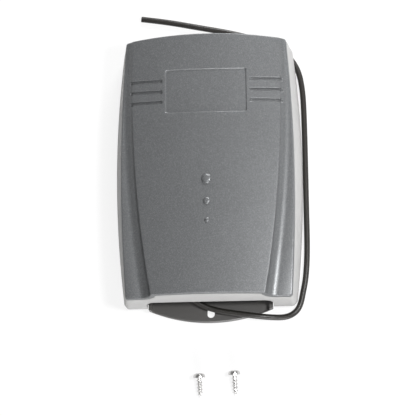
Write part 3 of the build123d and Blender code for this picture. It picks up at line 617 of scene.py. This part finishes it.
def makeFascia(shell):
    # Closed shell: the front grid with the marks moved along its normals, a quarter-round rim, a
    # band down to the thickness, the land, the lip and the same grid again set back on the inside.
    front = frontPoints(0, shell["rim"])
    alongY, alongX = (np.gradient(front, axis=axis) for axis in (0, 1))
    normal = np.cross(alongX, alongY)
    normal /= np.linalg.norm(normal, axis=-1, keepdims=True)
    front = front + normal * markHeight(front[..., 0], front[..., 1])[..., None]
    inner = frontPoints(shell["thickness"], shell["lipInset"])
    loops = []
    for turn in np.linspace(0, math.pi / 2, shell["rimSteps"] + 1)[1:]:
        sunk, moved = shell["rim"] * (1 - math.cos(turn)), shell["rim"] * (1 - math.sin(turn))
        loops.append(borderOf(frontPoints(sunk, moved)))
    loops.append(borderOf(frontPoints(shell["thickness"], 0)))
    land = borderOf(frontPoints(shell["thickness"], shell["landInset"]))
    loops.append(land)
    level = np.full(len(land), shell["lipLevel"])
    for inset in (shell["landInset"], shell["lipInset"]):
        x, y = ontoOutline(land[:, 0], land[:, 1], level, inset)
        loops.append(np.stack([x, y, level], axis=1))
    points = np.concatenate([front.reshape(-1, 3)] + loops + [inner.reshape(-1, 3)])
    index = np.arange(front[..., 0].size).reshape(front.shape[:2])
    border = borderOf(index[..., None])[:, 0]
    rings = [index.size + number * border.size + np.arange(border.size) for number in range(len(loops))]
    innerFirst = index.size + len(loops) * border.size
    rings = [border] + rings + [innerFirst + border]
    faces = [gridFaces(index)] + [bandFaces(upper, lower) for upper, lower in zip(rings, rings[1:])]
    faces.append(gridFaces(innerFirst + index)[:, ::-1])
    return makePiece("frontFascia", points, np.concatenate(faces).tolist(),
                     "cover", "front_fascia", shell["sharpDegrees"])


fasciaPiece = makeFascia(fasciaShell)
print("stage: fascia")

frameWalls = {
    "gap": 2.3,  # below the front's outer face
    "wall": 1.8,
    "soft": 0.22,
    "outerLevels": (0.25, 0.5, 0.75),  # shares of the way down the outer wall
    "rimSoft": 0.2,
    "rimChamfer": 0.1,
    "softMiddle": 0.3,  # share of its radius by which a rounding's middle lies inside both faces
    "ledgeInset": 3.7,
    "ledgeTop": 15.0,
    "ledgeBottom": 13.4,
    "notchHalf": 30.0,
    "notchLevel": 12.9,
    "notchCorner": 4.2,
    "notchReach": 8.0,
    "bosses": ((-36.8, -56.5), (36.8, -56.5), (-36.8, 50.5), (36.8, 50.5)),
    "bossRadius": 3.35,
    "bossBore": 1.75,
    "bossBottom": 5.4,
    "bossSoft": 0.25,
    "bossSides": 40,
    "webHalf": 0.8,
    "webInset": 0.9,
    "webOverlap": 0.5,
    "webLevels": 5,
    "webStart": 44.0,  # where the search for its far edge starts
    "sharpDegrees": 38,
}


def rimHeights(x, y, walls):
    # Height of the frame's rim by station: the rim's level, and in the wire opening the notch with
    # its round corners; the two stations at each of the notch's sides are moved exactly onto it.
    half, corner, top = walls["notchHalf"], walls["notchCorner"], walls["notchLevel"]
    x = x.copy()
    isBottom = y < shellForm["rimBottom"] + walls["notchReach"]
    inNotch = isBottom & (np.abs(x) < half)
    for side in (-1, 1):
        inner = np.where(inNotch & (side * x > 0), side * x, -1e9).argmax()
        outer = np.where(isBottom & (side * x >= half), side * x, 1e9).argmin()
        x[inner] = x[outer] = side * half
    over = np.maximum(np.abs(x) - half + corner, 0)
    arch = top - corner + np.sqrt(np.maximum(corner ** 2 - over ** 2, 0))
    return x, np.where(inNotch, arch, shellForm["rimLevel"])


def ringBoss(x, y, walls, first):
    # a closed tube for a pin: outside, top, bore and bottom carried round a circle
    turn = np.linspace(0, 2 * math.pi, walls["bossSides"], endpoint=False)
    soft = walls["bossSoft"]
    low, high = walls["bossBottom"], walls["ledgeTop"]
    outer, bore = walls["bossRadius"], walls["bossBore"]
    profile = np.array([(outer, high), (outer, low + soft), (outer - soft, low),
                        (bore + soft, low), (bore, low + soft), (bore, high)])
    radius = profile[:, :1]
    points = np.stack([x + radius * np.cos(turn), y + radius * np.sin(turn),
                       np.repeat(profile[:, 1:], turn.size, axis=1)], axis=-1)
    loops = [first + number * turn.size + np.arange(turn.size) for number in range(len(profile))]
    return points.reshape(-1, 3), np.concatenate(ringFaces(loops))


def bossWeb(x, y, walls, first):
    # a closed slab from the boss into the side wall, its far edge on the drafted wall's middle
    side, half, count = math.copysign(1, x), walls["webHalf"], walls["webLevels"]
    levels = np.linspace(walls["bossBottom"], walls["ledgeTop"], count)[::-1]
    start = np.full(count, side * walls["webStart"])
    far, _ = ontoOutline(start, np.full(count, y), levels, walls["webInset"])
    near = np.full(count, x + side * (walls["bossRadius"] - walls["webOverlap"]))
    left, right = np.minimum(near, far), np.maximum(near, far)
    points = np.stack([np.stack([left, right, right, left], axis=1),
                       np.tile([y - half, y - half, y + half, y + half], (count, 1)),
                       np.repeat(levels[:, None], 4, axis=1)], axis=-1)
    loops = [first + number * 4 + np.arange(4) for number in range(count)]
    faces = [bandFaces(upper, lower) for upper, lower in zip(loops, loops[1:])]
    faces += [loops[0][None, :], loops[-1][None, ::-1]]
    return points.reshape(-1, 3), np.concatenate(faces)


def makeFrame(walls):
    # A closed profile carried round the outline: rounded top edge under the fascia's land, drafted
    # outer wall, rim with the wire opening, inner wall and the ledge, and back up to the top edge.
    soft, rimSoft, chamfer, wall = walls["soft"], walls["rimSoft"], walls["rimChamfer"], walls["wall"]
    inside = walls["softMiddle"]
    loops = [borderOf(frontPoints(walls["gap"] + sunk, inset))
             for sunk, inset in ((0, soft), (inside * soft, inside * soft), (soft, 0))]
    top = loops[-1]
    onRim = ontoOutline(top[:, 0], top[:, 1], np.full(len(top), shellForm["rimLevel"]), 0)
    x, rim = rimHeights(*onRim, walls)
    y = ontoOutline(top[:, 0], top[:, 1], rim, 0)[1]

    def addLoop(level, inset, startX, startY):
        atX, atY = ontoOutline(startX, startY, level, inset)
        loops.append(np.stack([atX, atY, level], axis=1))

    for share in walls["outerLevels"]:
        blend = share ** 2
        addLoop(top[:, 2] + share * (rim + rimSoft - top[:, 2]), 0,
                top[:, 0] + blend * (x - top[:, 0]), top[:, 1] + blend * (y - top[:, 1]))
    for lift, inset in ((rimSoft, 0), (inside * rimSoft, inside * rimSoft), (0, rimSoft),
                        (0, wall - chamfer), (chamfer, wall)):
        addLoop(rim + lift, inset, x, y)
    inner = borderOf(frontPoints(walls["gap"], wall))
    for level, inset in ((walls["ledgeBottom"], wall), (walls["ledgeBottom"], walls["ledgeInset"]),
                         (walls["ledgeTop"], walls["ledgeInset"]), (walls["ledgeTop"], wall)):
        addLoop(np.full(len(top), level), inset, inner[:, 0], inner[:, 1])
    loops.append(inner)
    points = loops
    faces = ringFaces([number * len(top) + np.arange(len(top)) for number in range(len(loops))])
    for boss in walls["bosses"]:
        for part in (ringBoss, bossWeb):
            first = sum(len(group) for group in points)
            more, moreFaces = part(*boss, walls, first)
            points = points + [more]
            faces.append(moreFaces)
    return makePiece("housingFrame", np.concatenate(points), np.concatenate(faces).tolist(),
                     "cover", "housing_frame", walls["sharpDegrees"])


framePiece = makeFrame(frameWalls)
print("stage: frame")

fixingScrews = {
    "head": 5.6,
    "headHeight": 2.1,
    "crest": 2.9,
    "core": 1.8,
    "pitch": 1.65,
    "tip": 2.6,
    "plainNeck": 0.7,
    "turns": 72,
    "firstRing": 0.04,
    "ringStep": 0.09,
    "ridgeHalf": 0.3,
    "ridgeLead": 1.2,
    "ridgeFade": 0.5,
    "neckInset": 0.15,
    "headEdge": 0.14,
    "headRim": 0.55,
    "headRings": 9,
    "capShares": (0.97, 0.02, 30),  # from this share of the cap's radius to this, so many rings
    "crossHalf": 0.46,
    "crossReach": 1.55,
    "crossOver": 0.3,
    "crossDepth": 1.25,
    "crossSideSoft": 0.14,
    "crossEndSoft": 0.5,
    "crossTurn": 0.6,
    "sharpDegrees": 32,
    "lying": ((-5.6, -107.4, 1.5, 9.4), (11.1, -106.8, 2.6, 9.9)),  # x, y, turn in degrees, length
}


def screwRings(screw, length):
    # Rings of a pan-head tapping screw that stands on its tip. Shank radius = core times taper, which is
    # (height / tip)^0.8, plus a pointed ridge that climbs one pitch a turn and fades at both ends. Head:
    # radius by cos^0.55 and height by sin^0.9 of its angle, then a cap that is a parabola, with a cross.
    turn = np.linspace(0, 2 * math.pi, screw["turns"], endpoint=False)
    along = np.append(np.linspace(screw["firstRing"], length, int(length / screw["ringStep"])), length)
    taper = np.clip(along / screw["tip"], 0, 1) ** 0.8
    phase = (along[:, None] / screw["pitch"] - turn[None, :] / (2 * math.pi)) % 1
    ridge = np.clip(1 - np.abs(phase - 0.5) / screw["ridgeHalf"], 0, 1)
    fade = (np.clip((length - screw["plainNeck"] - along) / screw["ridgeFade"], 0, 1)
            * np.clip(along / screw["ridgeFade"], 0, 1))
    core, crest, half = screw["core"] / 2, screw["crest"] / 2, screw["head"] / 2
    rise = (crest - core) * fade * np.minimum(taper * screw["ridgeLead"], 1)
    shank = (core * taper)[:, None] + ridge * rise[:, None]
    shank[-1] = half - screw["neckInset"]
    bend = np.linspace(0, 1, screw["headRings"]) ** 0.8 * math.pi / 2
    domeRadius = half * np.cos(bend[:-3]) ** 0.55
    domeHeight = screw["headRim"] + (screw["headHeight"] - screw["headRim"]) * np.sin(bend[:-3]) ** 0.9
    inner = np.linspace(*screw["capShares"])
    capHeight = domeHeight[-1] + (screw["headHeight"] - domeHeight[-1]) * (1 - inner ** 2)
    headRadius = np.concatenate([[half], domeRadius, domeRadius[-1] * inner])
    headHeight = np.concatenate([[screw["headEdge"]], domeHeight, capHeight])
    reach, end = screw["crossReach"], screw["crossReach"] + screw["crossOver"]
    u = headRadius[:, None] * np.cos(turn)[None, :]
    v = headRadius[:, None] * np.sin(turn)[None, :]
    arms = [smoothStep((screw["crossHalf"] - np.abs(aside)) / screw["crossSideSoft"] + 0.5)
            * (np.abs(ahead) < end) for aside, ahead in ((u, v), (v, u))]
    sunk = (screw["crossDepth"] * np.maximum(*arms)
            * smoothStep((reach - headRadius) / screw["crossEndSoft"] + 0.5)[:, None])
    sunk[:2] = 0
    radius = np.concatenate([shank, np.repeat(headRadius[:, None], len(turn), axis=1)])
    height = np.concatenate([np.repeat(along[:, None], len(turn), axis=1),
                             length + headHeight[:, None] - sunk])
    return radius, height, turn


def makeScrews(screw):
    # Each screw lies on its head's rim and on its thread where the tip starts, so its axis is tilted.
    # The rings are set out about that axis, and a pole closes the tip and the head.
    points, faces, first = [], [], 0
    for x, y, turnDegrees, length in screw["lying"]:
        radius, height, turn = screwRings(screw, length)
        tilt = math.atan2((screw["head"] - screw["crest"]) / 2, length - screw["tip"])
        lift = screw["crest"] / 2 * math.cos(tilt) - screw["tip"] * math.sin(tilt)
        spin = math.radians(turnDegrees)
        across = np.array([math.cos(spin), math.sin(spin), 0])
        flat = math.cos(tilt)
        axis = np.array([-flat * math.sin(spin), flat * math.cos(spin), math.sin(tilt)])
        third = np.cross(axis, across)
        turn = turn + screw["crossTurn"]
        grid = (np.array([x, y, lift]) + height[..., None] * axis
                + (radius * np.cos(turn))[..., None] * across
                + (radius * np.sin(turn))[..., None] * third)
        points += [grid.reshape(-1, 3), grid[0].mean(axis=0)[None], grid[-1].mean(axis=0)[None]]
        index = first + np.arange(radius.size).reshape(radius.shape)
        wrapped = np.concatenate([index, index[:, :1]], axis=1)
        faces += gridFaces(wrapped).tolist()
        tipPole, headPole = first + radius.size, first + radius.size + 1
        low, high = wrapped[0].tolist(), wrapped[-1].tolist()
        faces += [[tipPole, after, before] for before, after in zip(low, low[1:])]
        faces += [[headPole, before, after] for before, after in zip(high, high[1:])]
        first += radius.size + 2
    return makePiece("fixingScrews", np.concatenate(points), faces,
                     "base", "fixing_screws", screw["sharpDegrees"])


screwPiece = makeScrews(fixingScrews)
print("stage: screws")


def newGroup(name, inputs, outputs):
    # an empty shader group with the named sockets, and its two end nodes
    group = bpy.data.node_groups.new(name, "ShaderNodeTree")
    for label, kind, value in inputs:
        socket = group.interface.new_socket(name=label, in_out="INPUT", socket_type=kind)
        socket.default_value = value
    for label, kind in outputs:
        group.interface.new_socket(name=label, in_out="OUTPUT", socket_type=kind)
    return group, group.nodes.new("NodeGroupInput"), group.nodes.new("NodeGroupOutput")


def addMath(tree, operation, first, second=0.0, third=None):
    # a Math node from sockets or plain numbers
    node = tree.nodes.new("ShaderNodeMath")
    node.operation = operation
    for slot, value in enumerate((first, second, third)):
        if value is None:
            continue
        if isinstance(value, (int, float)):
            node.inputs[slot].default_value = value
        else:
            tree.links.new(value, node.inputs[slot])
    return node.outputs[0]


def addMix(tree, share, first, second):
    # a colour Mix node from three sockets
    node = tree.nodes.new("ShaderNodeMix")
    node.data_type = "RGBA"
    for slot, socket in ((0, share), (6, first), (7, second)):
        tree.links.new(socket, node.inputs[slot])
    return node.outputs[2]


def addNoise(tree, vector, scale, detail, roughness):
    # a Noise texture, its scale a socket or a plain number
    node = tree.nodes.new("ShaderNodeTexNoise")
    tree.links.new(vector, node.inputs["Vector"])
    node.inputs["Detail"].default_value = detail
    node.inputs["Roughness"].default_value = roughness
    if isinstance(scale, (int, float)):
        node.inputs["Scale"].default_value = scale
    else:
        tree.links.new(scale, node.inputs["Scale"])
    return node.outputs["Fac"]


surfaceEffects = {
    "pitNoise": (3.0, 0.6),  # detail and roughness, as in each noise
    "swellNoise": (2.0, 0.5),
    "swellScale": 0.06,
    "pitGain": 3.0,
    "driftScale": 38.0,
    "driftNoise": (3.0, 0.55),
    "speckScale": 2100.0,
    "speckNoise": (2.0, 0.6),
    "speckGain": 6.0,
    "speckFrom": 0.6,
    "patchScale": 120.0,
    "patchNoise": (2.0, 0.5),
    "flakePower": 3.0,
}


def makeGrainGroup(effects):
    # moulded grain: height = fine pits + swell amount times a slower noise, mask = pits * gain - 1
    group, start, end = newGroup("mouldedGrain", [
        ("Size", "NodeSocketFloat", 0.0004),
        ("Swell", "NodeSocketFloat", 0.3),
    ], [("Height", "NodeSocketFloat"), ("Pits", "NodeSocketFloat")])
    place = group.nodes.new("ShaderNodeTexCoord").outputs["Object"]
    scale = addMath(group, "DIVIDE", 1.0, start.outputs["Size"])
    pits = addNoise(group, place, scale, *effects["pitNoise"])
    slower = addMath(group, "MULTIPLY", scale, effects["swellScale"])
    swell = addNoise(group, place, slower, *effects["swellNoise"])
    height = addMath(group, "MULTIPLY_ADD", swell, start.outputs["Swell"], pits)
    mask = addMath(group, "MULTIPLY_ADD", pits, effects["pitGain"], -1.0)
    group.links.new(height, end.inputs["Height"])
    group.links.new(mask, end.inputs["Pits"])
    return group


def makeDriftGroup(effects):
    # Slow drift of tone: colour times 1 + drift * (noise - 0.5), then dust by its amount times specks,
    # which are cut off below speckFrom, times patches. The slow noise is also a mask for roughness.
    group, start, end = newGroup("toneDrift", [
        ("Colour", "NodeSocketColor", (0.5, 0.5, 0.5, 1)),
        ("Dust Colour", "NodeSocketColor", (0.7, 0.7, 0.7, 1)),
        ("Drift", "NodeSocketFloat", 0.1),
        ("Dust", "NodeSocketFloat", 0.05),
    ], [("Colour", "NodeSocketColor"), ("Mask", "NodeSocketFloat")])
    place = group.nodes.new("ShaderNodeTexCoord").outputs["Object"]
    slow = addNoise(group, place, effects["driftScale"], *effects["driftNoise"])
    aside = addMath(group, "SUBTRACT", slow, 0.5)
    level = addMath(group, "MULTIPLY_ADD", aside, start.outputs["Drift"], 1.0)
    tint = group.nodes.new("ShaderNodeVectorMath")
    tint.operation = "SCALE"
    group.links.new(start.outputs["Colour"], tint.inputs[0])
    group.links.new(level, tint.inputs["Scale"])
    specks = addNoise(group, place, effects["speckScale"], *effects["speckNoise"])
    patch = addNoise(group, place, effects["patchScale"], *effects["patchNoise"])
    gain = effects["speckGain"]
    cut = addMath(group, "MULTIPLY_ADD", specks, gain, -gain * effects["speckFrom"])
    chance = addMath(group, "MAXIMUM", addMath(group, "MULTIPLY", cut, patch), 0.0)
    dust = addMath(group, "MULTIPLY", addMath(group, "MINIMUM", chance, 1.0), start.outputs["Dust"])
    dusted = addMix(group, dust, tint.outputs[0], start.outputs["Dust Colour"])
    group.links.new(dusted, end.inputs["Colour"])
    group.links.new(slow, end.inputs["Mask"])
    return group


def makeFlakeGroup(effects):
    # satin flakes: the flake colour by its amount times a random number a cell, to the power flakePower
    group, start, end = newGroup("satinFlake", [
        ("Colour", "NodeSocketColor", (0.3, 0.3, 0.3, 1)),
        ("Flake Colour", "NodeSocketColor", (0.6, 0.6, 0.6, 1)),
        ("Size", "NodeSocketFloat", 0.00025),
        ("Amount", "NodeSocketFloat", 0.3),
    ], [("Colour", "NodeSocketColor")])
    place = group.nodes.new("ShaderNodeTexCoord").outputs["Object"]
    cells = group.nodes.new("ShaderNodeTexVoronoi")
    group.links.new(place, cells.inputs["Vector"])
    group.links.new(addMath(group, "DIVIDE", 1.0, start.outputs["Size"]), cells.inputs["Scale"])
    split = group.nodes.new("ShaderNodeSeparateColor")
    group.links.new(cells.outputs["Color"], split.inputs[0])
    bright = addMath(group, "POWER", split.outputs[0], effects["flakePower"])
    share = addMath(group, "MULTIPLY", bright, start.outputs["Amount"])
    flaked = addMix(group, share, start.outputs["Colour"], start.outputs["Flake Colour"])
    group.links.new(flaked, end.inputs["Colour"])
    return group


grainGroup = makeGrainGroup(surfaceEffects)
driftGroup = makeDriftGroup(surfaceEffects)
flakeGroup = makeFlakeGroup(surfaceEffects)


def shade(level, warm=0.0):
    # a linear grey from a screen grey of 0 to 255, a little warmer or cooler
    value = level / 255
    linear = value / 12.92 if value < 0.04045 else ((value + 0.055) / 1.055) ** 2.4
    return (linear * (1 + warm), linear, linear * (1 - warm), 1)


def placeGroup(tree, group, values):
    # a group node in a material, its inputs from sockets or plain values
    node = tree.nodes.new("ShaderNodeGroup")
    node.node_tree = group
    for label, value in values.items():
        if hasattr(value, "is_output"):
            tree.links.new(value, node.inputs[label])
        else:
            node.inputs[label].default_value = value
    return node


plainLook = {
    "grain": 0.4,  # millimetres, as grainDepth and flakeSize
    "swell": 0.3,
    "grainDepth": 0.02,
    "bump": 0.3,
    "drift": 0.1,
    "dust": 0.04,
    "dustColour": shade(190),
    "roughSpread": 0.08,
    "pitRough": 0.03,
    "metallic": 0.0,
    "specular": 0.5,
    "coat": 0.0,
    "coatRoughness": 0.1,
}


def makeFinish(name, ownLook):
    # One finish: drifted tone, flakes where the look has them, roughness that follows the drift and
    # the pits, and a bump from the grain. Even values are set on the shader itself, and plainLook
    # gives what the finish's own look leaves out.
    look = plainLook | ownLook
    material = bpy.data.materials.new(name)
    material.use_nodes = True
    tree = material.node_tree
    shader = tree.nodes["Principled BSDF"]
    grain = placeGroup(tree, grainGroup, {
        "Size": look["grain"] * mm,
        "Swell": look["swell"],
    })
    drift = placeGroup(tree, driftGroup, {
        "Colour": look["colour"],
        "Dust Colour": look["dustColour"],
        "Drift": look["drift"],
        "Dust": look["dust"],
    })
    colour = drift.outputs["Colour"]
    if "flake" in look:
        flakes = placeGroup(tree, flakeGroup, {
            "Colour": colour,
            "Flake Colour": look["flake"],
            "Size": look["flakeSize"] * mm,
            "Amount": look["flakeAmount"],
        })
        colour = flakes.outputs["Colour"]
    tree.links.new(colour, shader.inputs["Base Color"])
    spread = look["roughSpread"]
    rough = addMath(tree, "MULTIPLY_ADD", drift.outputs["Mask"], spread, look["roughness"] - spread / 2)
    rough = addMath(tree, "MULTIPLY_ADD", grain.outputs["Pits"], look["pitRough"], rough)
    tree.links.new(rough, shader.inputs["Roughness"])
    shader.inputs["Metallic"].default_value = look["metallic"]
    shader.inputs["Specular IOR Level"].default_value = look["specular"]
    shader.inputs["Coat Weight"].default_value = look["coat"]
    shader.inputs["Coat Roughness"].default_value = look["coatRoughness"]
    bump = tree.nodes.new("ShaderNodeBump")
    bump.inputs["Strength"].default_value = look["bump"]
    bump.inputs["Distance"].default_value = look["grainDepth"] * mm
    tree.links.new(grain.outputs["Height"], bump.inputs["Height"])
    tree.links.new(bump.outputs["Normal"], shader.inputs["Normal"])
    return material


finishes = {
    "base_plastic": {"colour": shade(64, 0.04), "roughness": 0.42, "grain": 0.35, "drift": 0.3,
                     "dust": 0.05},
    "frame_plastic": {"colour": shade(158, 0.008), "roughness": 0.55, "grain": 0.3, "grainDepth": 0.012,
                      "drift": 0.04, "dust": 0.02},
    "fascia_plastic": {"colour": shade(95, -0.03), "roughness": 0.38, "metallic": 0.42, "specular": 0.45,
                       "flake": shade(152, -0.03), "flakeSize": 0.2, "flakeAmount": 0.42,
                       "grain": 0.25, "grainDepth": 0.01, "drift": 0.05, "dust": 0.03},
    "board_laminate": {"colour": (0.012, 0.09, 0.03, 1), "roughness": 0.35, "grain": 0.6, "drift": 0.35,
                       "coat": 0.3},
    "screw_steel": {"colour": shade(150), "roughness": 0.32, "metallic": 1.0, "grain": 0.2, "drift": 0.2},
    "terminal_plastic": {"colour": (0.01, 0.12, 0.045, 1), "roughness": 0.45, "grain": 0.35,
                         "drift": 0.15},
    "terminal_steel": {"colour": shade(165), "roughness": 0.3, "metallic": 1.0, "grain": 0.15,
                       "drift": 0.2},
    "relay_plastic": {"colour": (0.01, 0.02, 0.03, 1), "roughness": 0.3, "grain": 0.5, "drift": 0.3},
    "capacitor_sleeve": {"colour": (0.006, 0.009, 0.03, 1), "roughness": 0.25, "grain": 0.8,
                         "drift": 0.3, "coat": 0.4},
    "diode_plastic": {"colour": shade(26), "roughness": 0.45, "grain": 0.3, "drift": 0.2},
    "varistor_coat": {"colour": (0.02, 0.06, 0.28, 1), "roughness": 0.35, "grain": 0.5, "drift": 0.2,
                      "coat": 0.3},
    "chip_plastic": {"colour": shade(40), "roughness": 0.55, "grain": 0.25, "drift": 0.2},
    "crystal_can": {"colour": shade(190), "roughness": 0.22, "metallic": 1.0, "grain": 0.3},
    "resistor_body": {"colour": shade(34), "roughness": 0.4, "grain": 0.2, "drift": 0.2},
    "lamp_lens": {"colour": (0.6, 0.03, 0.02, 1), "roughness": 0.15, "grain": 0.6, "coat": 0.6},
    "jumper_plastic": {"colour": (0.02, 0.05, 0.3, 1), "roughness": 0.4, "grain": 0.3, "drift": 0.15},
    "switch_steel": {"colour": shade(180), "roughness": 0.28, "metallic": 1.0, "grain": 0.25},
    "button_plastic": {"colour": shade(28), "roughness": 0.4, "grain": 0.3, "drift": 0.2},
    "module_laminate": {"colour": (0.01, 0.035, 0.14, 1), "roughness": 0.35, "grain": 0.6, "drift": 0.3,
                        "coat": 0.3},
    "pin_metal": {"colour": (0.55, 0.42, 0.17, 1), "roughness": 0.25, "metallic": 1.0, "grain": 0.2},
    "shield_steel": {"colour": shade(185), "roughness": 0.27, "metallic": 1.0},
    "coil_can": {"colour": shade(175), "roughness": 0.3, "metallic": 1.0},
    "cable_sheath": {"colour": shade(28, 0.14), "roughness": 0.38, "specular": 0.4, "roughSpread": 0.04,
                     "grain": 0.5, "grainDepth": 0.01, "drift": 0.3, "dust": 0.05},
    "core_copper": {"colour": (0.72, 0.3, 0.14, 1), "roughness": 0.3, "metallic": 1.0, "grain": 0.2,
                    "drift": 0.15},
    "fixing_steel": {"colour": shade(205, 0.01), "roughness": 0.26, "metallic": 1.0, "grain": 0.18,
                     "drift": 0.25, "dust": 0.1, "dustColour": shade(120)},
}
darkPlastics = {  # screen grey of each
    "regulator_plastic": 30,
    "socket_plastic": 22,
    "transistor_plastic": 24,
    "header_plastic": 24,
    "switch_plastic": 34,
}
for finish, level in darkPlastics.items():
    finishes[finish] = {"colour": shade(level), "roughness": 0.5, "grain": 0.3, "drift": 0.2}

nodeFinishes = {
    "wall_base": "base_plastic",
    "circuit_board": "board_laminate",
    "board_screws": "screw_steel",
    "power_terminal": "terminal_plastic",
    "antenna_terminal": "terminal_plastic",
    "output_terminal_1": "terminal_plastic",
    "output_terminal_2": "terminal_plastic",
    "relay_1": "relay_plastic",
    "relay_2": "relay_plastic",
    "learn_button_1": "button_plastic",
    "learn_button_2": "button_plastic",
    "terminal_screws": "terminal_steel",
    "filter_capacitors": "capacitor_sleeve",
    "rectifier_diodes": "diode_plastic",
    "surge_varistor": "varistor_coat",
    "voltage_regulator": "regulator_plastic",
    "controller_socket": "socket_plastic",
    "microcontroller": "chip_plastic",
    "memory_socket": "socket_plastic",
    "memory_chip": "chip_plastic",
    "clock_crystal": "crystal_can",
    "relay_transistors": "transistor_plastic",
    "chip_resistors": "resistor_body",
    "status_leds": "lamp_lens",
    "mode_header": "header_plastic",
    "jumper_caps": "jumper_plastic",
    "learn_switches": "switch_plastic",
    "learn_switch_covers": "switch_steel",
    "receiver_module": "module_laminate",
    "module_pins": "pin_metal",
    "shield_can": "shield_steel",
    "tuning_coil": "coil_can",
    "antenna_core": "core_copper",
}

pieceFinishes = {
    "cable_sheath": cablePiece,
    "fascia_plastic": fasciaPiece,
    "frame_plastic": framePiece,
    "fixing_steel": screwPiece,
}

madeFinishes = {name: makeFinish(name, look) for name, look in finishes.items()}
for node, finish in nodeFinishes.items():
    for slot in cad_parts[node].material_slots:
        slot.material = madeFinishes[finish]
for finish, piece in pieceFinishes.items():
    piece.data.materials.append(madeFinishes[finish])
print("stage: finishes")

bpy.context.view_layer.update()
